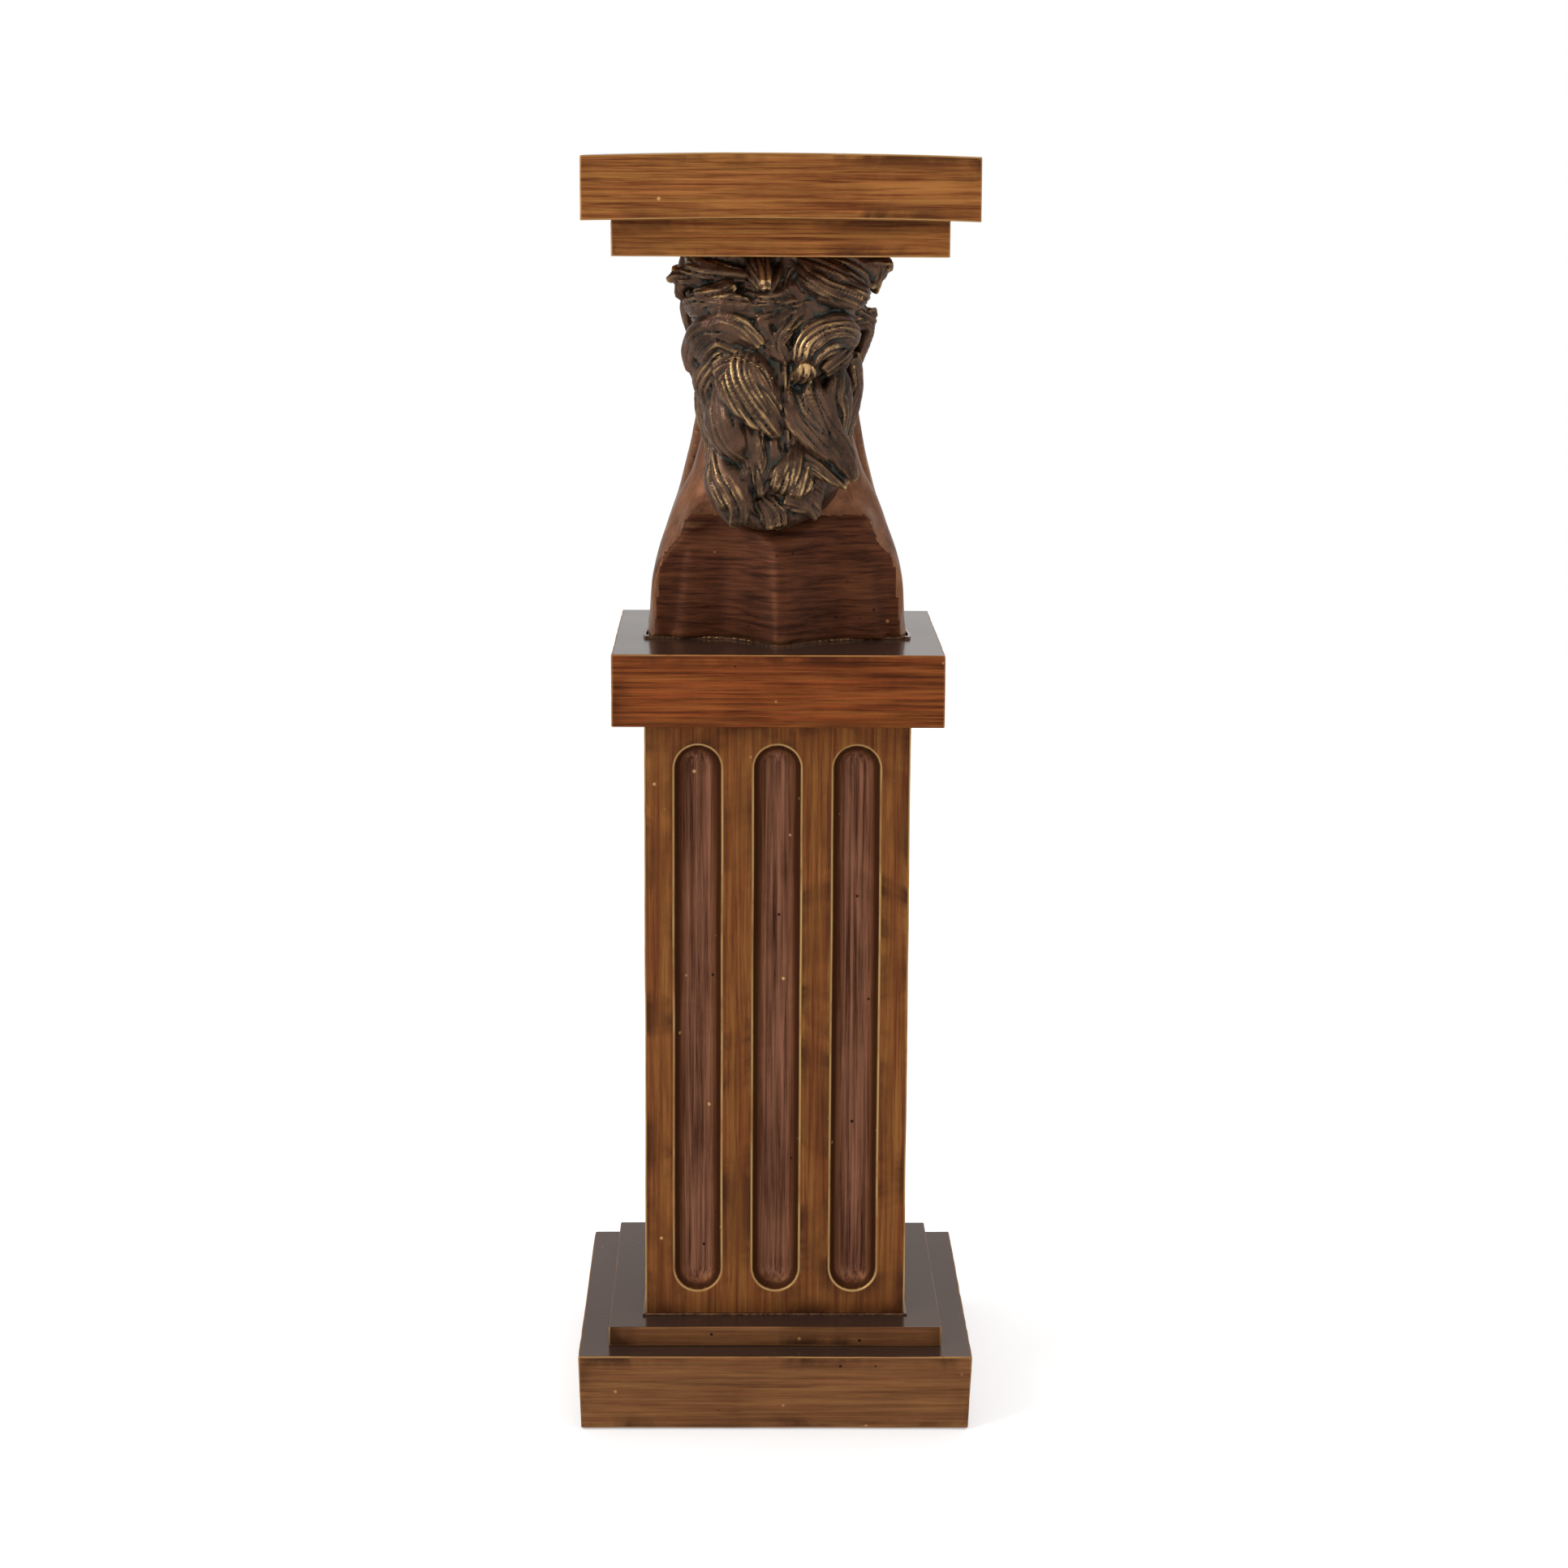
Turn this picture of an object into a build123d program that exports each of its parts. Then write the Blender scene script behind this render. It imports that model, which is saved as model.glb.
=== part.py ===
from build123d import *
import math
import os

# Square pedestal table of cast bronze: slabs, a fluted column and a horse bust that carries the top.
# Millimetres, +Z up, the origin on the floor under the middle. The bust looks along +Y.

# Outer sizes, from the floor up
floor_gap = 1.5
base_width = 318.0
base_height = 61.5
base_draft = 2.3
step_width = 270.0
step_height = 16.5
column_width = 212.0
column_height = 493.0
cap_width = 262.0
cap_height = 57.5
bust_height = 307.5
top_step_width = 260.0
top_step_height = 29.5
top_width = 304.0
top_height = 49.0

# Casting walls and openings
wall = 5.0
edge_round = 1.2
corner_round = 3.6
base_opening = 150.0
soffit_opening = 188.0
rim_height = 8.0
rim_wall = 4.0
rim_clearance = 1.0

# Flutes, alike on the four faces of the column
flute_count = 3
flute_pitch = 63.3
flute_width = 38.0
flute_depth = 13.0
flute_foot = 21.0
flute_head = 18.5

# Fasteners
bore_clearance = 0.5
thread_clearance = 0.15
rod_size = 12.0
rod_nut_width = 19.0
rod_nut_height = 10.0
rod_washer_width = 30.0
rod_washer_height = 2.5
rod_end = 6.0
bolt_size = 10.0
bolt_head_width = 17.0
bolt_head_height = 6.4
bolt_washer_width = 20.0
bolt_washer_height = 2.0
screw_size = 8.0
screw_head_width = 13.0
screw_head_height = 8.0
screw_washer_width = 16.0
screw_washer_height = 1.6
plate_screw_size = 5.0
plate_screw_head_width = 9.5
plate_screw_head_height = 2.0
plate_screw_length = 14.0
thread_end_gap = 1.5
socket_share = 0.8

# Bosses
screw_boss_width = 20.0
screw_boss_height = 20.0
screw_recess = 12.0
step_boss_width = 16.0
plate_boss_width = 14.0
corner_margin = 3.0

# Bars, plates and pads
bar_width = 50.0
bar_height = 10.0
bar_seat = 22.0
bust_plate_height = 8.0
bust_plate_width = 84.0
bust_plate_depth = 58.0
bust_plate_middle = 13.0
bust_plate_round = 6.0
top_bolt_aside = 28.0
top_bolt_along = 16.0
bust_bolt_aside = 55.0
bust_bolt_front = 55.0
bust_bolt_behind = -15.0
bottom_plate_height = 3.0
pad_width = 40.0
pad_height = 3.0
pad_inset = 26.0
seat_clearance = 0.3
bead_width = 2.2
bead_height = 2.0
bead_round = 1.2

# Heights where one piece stands on the next
base_top = floor_gap + base_height
step_top = base_top + step_height
column_top = step_top + column_height
cap_top = column_top + cap_height
bust_top = cap_top + bust_height
top_step_top = bust_top + top_step_height
table_height = top_step_top + top_height

# Outline of a level section through the neck: share of its half width behind, at the waist or in front, and
# share of its depth from the rear
neck_behind = [(0.60, 0.06), (1.0, 0.28)]
neck_waist = (1.0, 0.46)
neck_before = [(1.0, 0.66), (0.60, 0.93)]

# Sections through the neck and chest, from the foot up, before the rear is cut off: level as a share of the
# bust's height, rear, half width behind, half width at the waist, half width in front, front
neck_sections = [
    (0.00, -100.0, 104.0, 105.0, 99.0, 106.0),
    (0.10, -98.0, 101.0, 102.0, 99.0, 110.0),
    (0.20, -84.0, 98.0, 97.0, 96.0, 108.0),
    (0.30, -52.0, 88.0, 87.0, 88.0, 100.0),
    (0.38, -38.0, 79.0, 77.0, 80.0, 88.0),
    (0.49, -30.0, 67.0, 65.0, 72.0, 74.0),
    (0.59, -27.0, 58.0, 56.0, 66.0, 64.0),
    (0.72, -24.0, 47.0, 45.0, 58.0, 56.0),
    (0.85, -20.0, 42.0, 41.0, 52.0, 50.0),
]
neck_top_section = (-18.0, 40.0, 39.0, 46.0, 44.0)

# The cut rear face: flat flanks and a middle ridge that leans back into the neck as it rises
cut_flank = -40.0
cut_reach = 60.0
ridge_foot = 48.0
ridge_top = 4.0
ridge_top_level = 0.5
cut_start_level = -0.03
ridge_shape = [(-112.0, 0.0), (-70.0, 0.0), (-38.0, 0.1), (-18.0, 0.54), (0.0, 1.0), (27.0, 0.52), (67.0, 0.12),
               (112.0, 0.0)]

# Sections through the head, square to its axis: way along the axis from the poll, half width, front, back.
# The outline gives shares of the half width and of the front or the back.
poll_behind = 30.0
poll_level = 0.895
muzzle_front = 118.0
muzzle_level = 0.195
head_sections = [
    (0.0, 38.0, 28.0, 35.0),
    (50.0, 50.0, 45.0, 50.0),
    (90.0, 47.0, 43.0, 60.0),
    (130.0, 36.0, 36.0, 45.0),
    (170.0, 30.0, 30.0, 32.0),
    (200.0, 32.0, 30.0, 30.0),
    (224.0, 25.0, 20.0, 24.0),
]
head_outline = [(0.66, -0.80), (1.0, 0.0), (0.72, 0.76)]
head_cavity_start = 12.0
head_cavity_end = 205.0

# Body of the mane under its locks: level as a share of the bust's height, middle, half width, rear
mane_body = [
    (0.285, -6.0, 30.0, -54.0),
    (0.36, -4.0, 48.0, -61.0),
    (0.46, -2.0, 57.0, -66.0),
    (0.56, -2.0, 57.0, -71.0),
    (0.70, -9.0, 61.0, -76.0),
    (0.80, -6.0, 63.0, -80.0),
    (0.90, 1.0, 67.0, -80.0),
    (1.02, 1.0, 74.0, -76.0),
]
mane_body_front = 0.0
mane_hollow_wall = 14.0
mane_hollow_ends = (0.40, 0.88)

# Locks of hair: along each lock x, y, level, width, thickness
mane_locks = [
    [(20, -66, 0.99, 16, 16), (29, -76, 0.94, 26, 20), (48, -72, 0.91, 28, 20), (68, -52, 0.90, 14, 10)],
    [(36, -62, 0.96, 20, 18), (64, -48, 0.965, 20, 18), (89, -32, 0.97, 8, 8)],
    [(72, -38, 0.965, 18, 18), (77, -38, 0.945, 14, 14), (72, -42, 0.915, 6, 6)],
    [(44, -40, 0.815, 18, 16), (62, -30, 0.822, 14, 14), (77, -22, 0.832, 6, 6)],
    [(56, -42, 0.777, 18, 16), (51, -60, 0.813, 22, 18), (33, -76, 0.81, 22, 18), (20, -82, 0.767, 18, 16),
     (15, -78, 0.732, 14, 14)],
    [(44, -56, 0.77, 16, 16), (34, -72, 0.765, 18, 16), (24, -76, 0.73, 12, 12)],
    [(20, -66, 0.735, 18, 18), (20, -80, 0.725, 16, 16), (20, -92, 0.71, 12, 12)],
    [(-16, -68, 0.985, 22, 18), (-14, -82, 0.955, 18, 16), (-11, -90, 0.924, 10, 10)],
    [(-69, -46, 0.878, 12, 12), (-52, -68, 0.898, 18, 16), (-37, -82, 0.92, 10, 10)],
    [(-18, -70, 0.865, 24, 20), (-46, -70, 0.855, 30, 22), (-68, -46, 0.858, 16, 12)],
    [(-52, -52, 0.955, 20, 18), (-70, -42, 0.945, 18, 16), (-86, -34, 0.935, 6, 6)],
    [(-68, -42, 0.935, 18, 16), (-78, -38, 0.915, 12, 12), (-79, -36, 0.885, 6, 6)],
    [(-18, -76, 0.774, 14, 14), (-35, -82, 0.81, 22, 18), (-53, -76, 0.813, 24, 18), (-66, -60, 0.77, 20, 16),
     (-68, -52, 0.715, 12, 12)],
    [(-30, -78, 0.755, 14, 14), (-50, -76, 0.77, 18, 16), (-62, -62, 0.735, 12, 12)],
    [(-45, -70, 0.725, 20, 16), (-58, -60, 0.68, 24, 18), (-54, -56, 0.618, 12, 12)],
    [(-30, -74, 0.72, 24, 18), (-19, -80, 0.644, 28, 20), (-9, -80, 0.592, 22, 16), (0, -78, 0.546, 8, 8)],
    [(-45, -64, 0.663, 22, 18), (-35, -70, 0.579, 24, 18), (-28, -68, 0.517, 20, 14), (-26, -64, 0.465, 10, 8)],
    [(-47, -58, 0.624, 16, 14), (-51, -56, 0.559, 18, 14), (-43, -60, 0.507, 14, 12), (-28, -62, 0.468, 8, 8)],
    [(-50, -48, 0.488, 16, 14), (-45, -54, 0.449, 20, 14), (-34, -58, 0.426, 16, 12), (-22, -56, 0.384, 8, 8)],
    [(-53, -46, 0.46, 14, 14), (-48, -48, 0.39, 20, 16), (-41, -54, 0.341, 16, 14), (-35, -58, 0.296, 6, 6)],
    [(-19, -58, 0.53, 16, 14), (-14, -64, 0.459, 18, 14), (-12, -66, 0.403, 8, 8)],
    [(17, -60, 0.53, 16, 14), (12, -66, 0.462, 16, 14), (11, -68, 0.406, 8, 8)],
    [(12, -70, 0.64, 20, 18), (21, -76, 0.579, 22, 18), (33, -70, 0.523, 18, 14), (44, -64, 0.478, 8, 8)],
    [(27, -70, 0.647, 20, 18), (38, -66, 0.566, 22, 18), (50, -56, 0.491, 16, 14), (63, -46, 0.429, 6, 6)],
    [(17, -58, 0.517, 16, 14), (33, -58, 0.475, 18, 14), (46, -52, 0.436, 14, 12), (56, -46, 0.41, 6, 6)],
    [(44, -58, 0.709, 18, 16), (50, -54, 0.634, 20, 16), (49, -50, 0.553, 16, 14), (46, -50, 0.498, 8, 8)],
    [(29, -52, 0.445, 16, 14), (29, -52, 0.384, 16, 14), (26, -50, 0.328, 8, 8)],
    [(3, -66, 0.88, 24, 18), (-10, -70, 0.823, 22, 18), (-3, -74, 0.741, 14, 14)],
]
curl_seam = 0.84
fall_seam = 0.69
middle_seam = 4.0
forelock_locks = [
    [(-6, 20, 0.965, 26, 16), (-8, 60, 0.955, 32, 18), (-6, 88, 0.87, 26, 14), (2, 98, 0.77, 8, 8)],
    [(8, 20, 0.965, 26, 16), (16, 56, 0.94, 28, 16), (20, 80, 0.87, 18, 12), (12, 92, 0.80, 8, 8)],
]
ear_stations = [(24, 26, 0.86, 30, 22), (46, 22, 0.90, 28, 18), (68, 16, 0.935, 22, 12), (86, 10, 0.955, 6, 5)]


def level(share):
    """Height of a level of the bust above the floor."""
    return cap_top + share * bust_height


def square_box(width, bottom, top, rounding=0.0):
    """Square block about the vertical axis, its upright edges and top rounded."""
    with BuildPart() as block:
        with BuildSketch(Plane.XY.offset(bottom)):
            Rectangle(width, width)
        extrude(amount=top - bottom)
        if rounding:
            fillet(block.edges(), radius=rounding)
    return block.part


def square_corners(distance):
    """The four corner places at one distance from the middle planes."""
    return [(x, y) for x in (-distance, distance) for y in (-distance, distance)]


def neck_face(share, rear, rear_half, waist, front_half, front, inset=0.0):
    """Level section through the neck, drawn in by the inset."""
    back = rear + inset
    depth = front - inset - back
    shares = [(rear_half, *share) for share in neck_behind]
    shares += [(waist, *neck_waist)]
    shares += [(front_half, *share) for share in neck_before]
    right = [(aside * (half - inset), back + along * depth) for half, aside, along in shares]
    left = [(-x, y) for x, y in reversed(right)]
    with BuildSketch(Plane.XY.offset(level(share))) as section:
        with BuildLine():
            Spline((0.0, back), *right, (0.0, back + depth), *left, periodic=True)
        make_face()
    return section.sketch.face()


def rear_cut_face(share, ridge, inset=0.0):
    """Level section through what is cut off the rear of the bust."""
    edge = [(x, cut_flank + inset - ridge * part) for x, part in ridge_shape]
    left, right = edge[0], edge[-1]
    far = cut_flank - ridge_foot - cut_reach
    with BuildSketch(Plane.XY.offset(level(share))) as section:
        with BuildLine():
            Spline(*edge)
            Polyline(right, (right[0], far), (left[0], far), left)
        make_face()
    return section.sketch.face()


def neck_form(inset=0.0):
    """Solid form of the neck and chest with the rear cut off, drawn in by the inset."""
    plate_level = 1.0 - bust_plate_height / bust_height
    slope = (ridge_foot - ridge_top) / ridge_top_level
    with BuildPart() as form:
        loft([neck_face(*row, inset=inset) for row in neck_sections]
             + [neck_face(plate_level, *neck_top_section, inset=inset)])
        loft([rear_cut_face(cut_start_level, ridge_foot - slope * cut_start_level, inset),
              rear_cut_face(ridge_top_level, ridge_top, inset)], mode=Mode.SUBTRACT)
    return form.part


def bust_foot(inset):
    """Thin block on the cap with the outline of the bust's foot, drawn in by the inset."""
    with BuildPart() as block:
        extrude(neck_face(*neck_sections[0], inset=inset), amount=bead_height)
        extrude(rear_cut_face(0.0, ridge_foot, inset), amount=bead_height, mode=Mode.SUBTRACT)
    return block.part


def head_face(way, half, front, back, inset=0.0):
    """Section through the head, square to its axis."""
    poll = Vector(0, poll_behind, level(poll_level))
    muzzle = Vector(0, muzzle_front, level(muzzle_level))
    axis = (muzzle - poll).normalized()
    place = Plane(origin=poll + axis * way, x_dir=(1, 0, 0), z_dir=axis)
    half, front, back = half - inset, front - inset, back - inset
    right = [(aside * half, along * (front if along < 0 else back)) for aside, along in head_outline]
    left = [(-x, y) for x, y in reversed(right)]
    with BuildSketch(place) as section:
        with BuildLine():
            Spline((0.0, -front), *right, (0.0, back), *left, periodic=True)
        make_face()
    return section.sketch.face()


def lock_faces(stations):
    """Oval sections along one lock of hair, each square to the lock."""
    points = [Vector(x, y, level(share)) for x, y, share, width, thickness in stations]
    faces = []
    for index, (x, y, share, width, thickness) in enumerate(stations):
        ahead = points[min(index + 1, len(points) - 1)]
        behind = points[max(index - 1, 0)]
        along = (ahead - behind).normalized()
        outward = Vector(x, y, 0).normalized()
        across = along.cross(outward).normalized()
        with BuildSketch(Plane(origin=points[index], x_dir=across, z_dir=along)) as oval:
            Ellipse(width / 2, thickness / 2)
        faces.append(oval.sketch.face())
    return faces


def mane_body_face(share, middle, half, rear, inset=0.0):
    """Level section through the body of the mane under its locks, drawn in by the inset."""
    with BuildSketch(Plane.XY.offset(level(share))) as section:
        with Locations((middle, (rear + mane_body_front) / 2)):
            Ellipse(half - inset, (mane_body_front - rear) / 2 - inset)
    return section.sketch.face()


def bolt(size, head_width, head_height, reach, head_base, upward=True):
    """Socket screw on the vertical axis: its head's bearing face lies at head_base."""
    turn = 1 if upward else -1
    with BuildPart() as screw:
        with BuildSketch(Plane.XY.offset(head_base)):
            Circle(head_width / 2)
        extrude(amount=-turn * head_height)
        with BuildSketch(Plane.XY.offset(head_base)):
            Circle(size / 2)
        extrude(amount=turn * reach)
        with BuildSketch(Plane.XY.offset(head_base - turn * head_height)):
            RegularPolygon(socket_share * size / 2, 6)
        extrude(amount=turn * head_height / 2, mode=Mode.SUBTRACT)
    return screw.part


def washer(size, width, height, bottom):
    """Flat washer on the vertical axis."""
    with BuildPart() as ring:
        with BuildSketch(Plane.XY.offset(bottom)):
            Circle(width / 2)
            Circle(size / 2 + bore_clearance, mode=Mode.SUBTRACT)
        extrude(amount=height)
    return ring.part


def placed(piece, places):
    """Copies of one piece at each place, as separate solids."""
    return Compound(children=[Pos(x, y, 0) * piece for x, y in places])


def write(piece, name):
    piece.label = name
    export_step(piece, f"parts/{name}.step")
    print(name, len(piece.solids()), round(piece.volume / 1000.0, 1))


os.makedirs("parts", exist_ok=True)

# Places of the fasteners
screw_places = square_corners(top_step_width / 2 - wall - corner_margin - screw_boss_width / 2)
step_places = square_corners(step_width / 2 - wall - corner_margin - step_boss_width / 2)
plate_places = square_corners(base_width / 2 - wall - 2 * corner_margin - plate_boss_width / 2)
bust_places = [(x, y) for x in (-bust_bolt_aside, bust_bolt_aside)
               for y in (bust_bolt_behind, bust_bolt_front)]
top_places = [(x, bust_plate_middle + y) for x in (-top_bolt_aside, top_bolt_aside)
              for y in (-top_bolt_along, top_bolt_along)]

# Base slab: tray open below, with bosses for the bottom plate
bottom_plate_top = pad_height + bottom_plate_height
with BuildPart() as base_slab:
    with BuildSketch(Plane.XY.offset(base_top)):
        Rectangle(base_width, base_width)
    extrude(amount=-base_height, taper=base_draft)
    fillet(base_slab.edges(), radius=edge_round)
    with BuildSketch(Plane.XY.offset(base_top - wall)):
        Rectangle(base_width - 2 * wall, base_width - 2 * wall)
    extrude(amount=-base_height, taper=base_draft, mode=Mode.SUBTRACT)
    with BuildSketch(Plane.XY.offset(base_top)):
        Rectangle(base_opening, base_opening)
        with Locations(*step_places):
            Circle(screw_size / 2 + bore_clearance)
    extrude(amount=-wall, mode=Mode.SUBTRACT)
    with BuildSketch(Plane.XY.offset(bottom_plate_top)):
        with Locations(*plate_places):
            Circle(plate_boss_width / 2)
            Circle(plate_screw_size / 2 + thread_clearance, mode=Mode.SUBTRACT)
    extrude(amount=base_top - wall - bottom_plate_top)
write(base_slab.part, "base_slab")

# Base step: shallow tray with a rim that keeps the column in place
rim_width = column_width - 2 * wall - rim_clearance
with BuildPart() as base_step:
    add(square_box(step_width, base_top, step_top, edge_round))
    with BuildSketch(Plane.XY.offset(base_top)):
        Rectangle(step_width - 2 * wall, step_width - 2 * wall)
    extrude(amount=step_height - wall, mode=Mode.SUBTRACT)
    with BuildSketch(Plane.XY.offset(step_top)):
        Rectangle(rim_width, rim_width)
    extrude(amount=rim_height)
    with BuildSketch(Plane.XY.offset(step_top + rim_height)):
        Rectangle(rim_width - 2 * rim_wall, rim_width - 2 * rim_wall)
    extrude(amount=-rim_height, mode=Mode.SUBTRACT)
    with BuildSketch(Plane.XY.offset(step_top - wall)):
        Rectangle(base_opening, base_opening)
    extrude(amount=wall, mode=Mode.SUBTRACT)
    with BuildSketch(Plane.XY.offset(base_top)):
        with Locations(*step_places):
            Circle(step_boss_width / 2)
            Circle(screw_size / 2 + thread_clearance, mode=Mode.SUBTRACT)
    extrude(amount=step_height - wall)
write(base_step.part, "base_step")

step_bolt_reach = wall + step_height - wall - thread_end_gap
step_bolt = bolt(screw_size, screw_head_width, screw_head_height, step_bolt_reach + screw_washer_height,
                 base_top - wall - screw_washer_height)
step_washer = washer(screw_size, screw_washer_width, screw_washer_height, base_top - wall - screw_washer_height)
write(placed(step_bolt, step_places), "base_step_bolts")
write(placed(step_washer, step_places), "base_step_washers")

# Column: four mitred panels with round-bottomed flutes, the wall following the flutes inside
flute_radius = (flute_width ** 2 / 4 + flute_depth ** 2) / (2 * flute_depth)
flute_axis = -column_width / 2 - (flute_radius - flute_depth)
flute_bottom = step_top + flute_foot
flute_top = column_top - flute_head
flute_places = [(index - (flute_count - 1) / 2) * flute_pitch for index in range(flute_count)]


def flute_rod(radius):
    """Round rod with ball ends on the axis of each flute of the front panel."""
    low = flute_bottom + flute_width / 2
    high = flute_top - flute_width / 2
    with BuildPart() as rods:
        for x in flute_places:
            with BuildSketch(Plane(origin=(x, flute_axis, low), z_dir=(0, 0, 1))):
                Circle(radius)
            extrude(amount=high - low)
            with Locations((x, flute_axis, low), (x, flute_axis, high)):
                Sphere(radius)
    return rods.part


flute_wall_plane = Plane.XZ.offset(column_width / 2 - wall)
with BuildPart() as flute_backs:
    add(flute_rod(flute_radius + wall))
    split(bisect_by=flute_wall_plane, keep=Keep.BOTTOM)

with BuildPart() as column_panel:
    half = column_width / 2
    inner = half - wall
    with BuildSketch(Plane.XY.offset(step_top)):
        with BuildLine():
            Polyline((-half, -half), (half, -half), (inner, -inner), (-inner, -inner), close=True)
        make_face()
    extrude(amount=column_height)
    add(flute_backs.part)
    add(flute_rod(flute_radius), mode=Mode.SUBTRACT)

for turn, side in enumerate(["front", "right", "back", "left"]):
    write(column_panel.part.rotate(Axis.Z, 90.0 * turn), f"column_{side}")

# Bead round the foot of the column
with BuildPart() as column_weld_bead:
    with BuildSketch(Plane.XY.offset(step_top)):
        Rectangle(column_width + 2 * bead_width, column_width + 2 * bead_width)
        Rectangle(column_width, column_width, mode=Mode.SUBTRACT)
    extrude(amount=bead_height)
    fillet(column_weld_bead.faces().sort_by(Axis.Z)[-1].outer_wire().edges(), radius=bead_round)
write(column_weld_bead.part, "column_weld_bead")

# Cap: closed box with an opening below and a rim inside the head of the column
with BuildPart() as cap_slab:
    add(square_box(cap_width, column_top, cap_top, edge_round))
    add(square_box(cap_width - 2 * wall, column_top + wall, cap_top - wall), mode=Mode.SUBTRACT)
    with BuildSketch(Plane.XY.offset(column_top)):
        Rectangle(soffit_opening, soffit_opening)
    extrude(amount=wall, mode=Mode.SUBTRACT)
    with BuildSketch(Plane.XY.offset(column_top)):
        Rectangle(rim_width, rim_width)
        Rectangle(rim_width - 2 * rim_wall, rim_width - 2 * rim_wall, mode=Mode.SUBTRACT)
    extrude(amount=-rim_height)
    with BuildSketch(Plane.XY.offset(cap_top)):
        with Locations(*bust_places):
            Circle(bolt_size / 2 + bore_clearance)
    extrude(amount=-wall, mode=Mode.SUBTRACT)
write(cap_slab.part, "cap_slab")

# Tie rod that draws the cap, the column and the base together
low_bar_top = base_top - wall
high_bar_top = column_top + wall + bar_height
bars = {"base_strongback": (base_opening, low_bar_top), "cap_strongback": (soffit_opening, high_bar_top)}
for name, (opening, bar_top) in bars.items():
    with BuildPart() as bar:
        with BuildSketch(Plane.XY.offset(bar_top)):
            RectangleRounded(opening + 2 * bar_seat, bar_width, corner_round)
            Circle(rod_size / 2 + bore_clearance, mode=Mode.SUBTRACT)
        extrude(amount=-bar_height)
    write(bar.part, name)

low_washer = low_bar_top - bar_height - rod_washer_height
high_nut = high_bar_top + rod_washer_height
with BuildPart() as nut:
    with BuildSketch():
        RegularPolygon(rod_nut_width / 2, 6, major_radius=False)
        Circle(rod_size / 2 + thread_clearance, mode=Mode.SUBTRACT)
    extrude(amount=rod_nut_height)
low_nut = low_washer - rod_nut_height
write(Compound(children=[Pos(0, 0, height) * nut.part for height in (low_nut, high_nut)]), "tie_rod_nuts")
write(Compound(children=[washer(rod_size, rod_washer_width, rod_washer_height, height)
                         for height in (low_washer, high_bar_top)]), "tie_rod_washers")
rod_low = low_nut - rod_end
rod_high = high_nut + rod_nut_height + rod_end
with BuildPart() as tie_rod:
    with BuildSketch(Plane.XY.offset(rod_low)):
        Circle(rod_size / 2)
    extrude(amount=rod_high - rod_low)
    chamfer(tie_rod.edges(), length=edge_round)
write(tie_rod.part, "tie_rod")

# Bottom plate, its screws and the floor pads
plate_bottom = bottom_plate_top - bottom_plate_height
plate_side = base_width - 2 * wall - 2 * base_height * math.tan(math.radians(base_draft)) - 2 * seat_clearance
with BuildPart() as base_bottom_plate:
    with BuildSketch(Plane.XY.offset(plate_bottom)):
        Rectangle(plate_side, plate_side)
        with Locations(*plate_places):
            Circle(plate_screw_size / 2 + bore_clearance, mode=Mode.SUBTRACT)
    extrude(amount=bottom_plate_height)
write(base_bottom_plate.part, "base_bottom_plate")
plate_screw = bolt(plate_screw_size, plate_screw_head_width, plate_screw_head_height, plate_screw_length,
                   plate_bottom)
write(placed(plate_screw, plate_places), "bottom_plate_screws")
with BuildPart() as pad:
    with BuildSketch():
        RectangleRounded(pad_width, pad_width, corner_round)
    extrude(amount=pad_height)
pad_places = square_corners(plate_side / 2 - pad_inset - pad_width / 2)
write(placed(pad.part, pad_places), "floor_pads")

# Bust: plates, neck and head
bust_form = neck_form()
bust_hollow = neck_form(wall)
with BuildPart() as plate_blank:
    with BuildSketch(Plane.XY.offset(bust_top)):
        with Locations((0, bust_plate_middle)):
            RectangleRounded(bust_plate_width, bust_plate_depth, bust_plate_round)
    extrude(amount=-bust_plate_height)
with BuildPart() as bust_top_plate:
    add(plate_blank.part)
    with BuildSketch(Plane.XY.offset(bust_top)):
        with Locations(*top_places):
            Circle(screw_size / 2 + thread_clearance)
    extrude(amount=-bust_plate_height, mode=Mode.SUBTRACT)
write(bust_top_plate.part, "bust_top_plate")

with BuildPart() as neck:
    add(bust_form)
    add(bust_hollow, mode=Mode.SUBTRACT)
write(neck.part, "neck")

with BuildPart() as bust_base_plate:
    add(neck_form(wall + seat_clearance))
    split(bisect_by=Plane.XY.offset(cap_top + bust_plate_height), keep=Keep.BOTTOM)
    with BuildSketch(Plane.XY.offset(cap_top)):
        with Locations(*bust_places):
            Circle(bolt_size / 2 + thread_clearance)
    extrude(amount=bust_plate_height, mode=Mode.SUBTRACT)
write(bust_base_plate.part, "bust_base_plate")

bust_bolt = bolt(bolt_size, bolt_head_width, bolt_head_height,
                 bolt_washer_height + wall + bust_plate_height - thread_end_gap, cap_top - wall - bolt_washer_height)
write(placed(bust_bolt, bust_places), "bust_base_bolts")
bust_washer = washer(bolt_size, bolt_washer_width, bolt_washer_height, cap_top - wall - bolt_washer_height)
write(placed(bust_washer, bust_places), "bust_base_washers")

with BuildPart() as bust_weld_bead:
    add(bust_foot(-seat_clearance - bead_width))
    add(bust_foot(-seat_clearance), mode=Mode.SUBTRACT)
    add(bust_form, mode=Mode.SUBTRACT)
write(bust_weld_bead.part, "bust_weld_bead")

with BuildPart() as head:
    loft([head_face(*row) for row in head_sections])
    loft([head_face(way, half, front, back, wall) for way, half, front, back in head_sections
          if head_cavity_start < way < head_cavity_end], mode=Mode.SUBTRACT)
    add(bust_form, mode=Mode.SUBTRACT)
write(head.part, "head")

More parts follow.
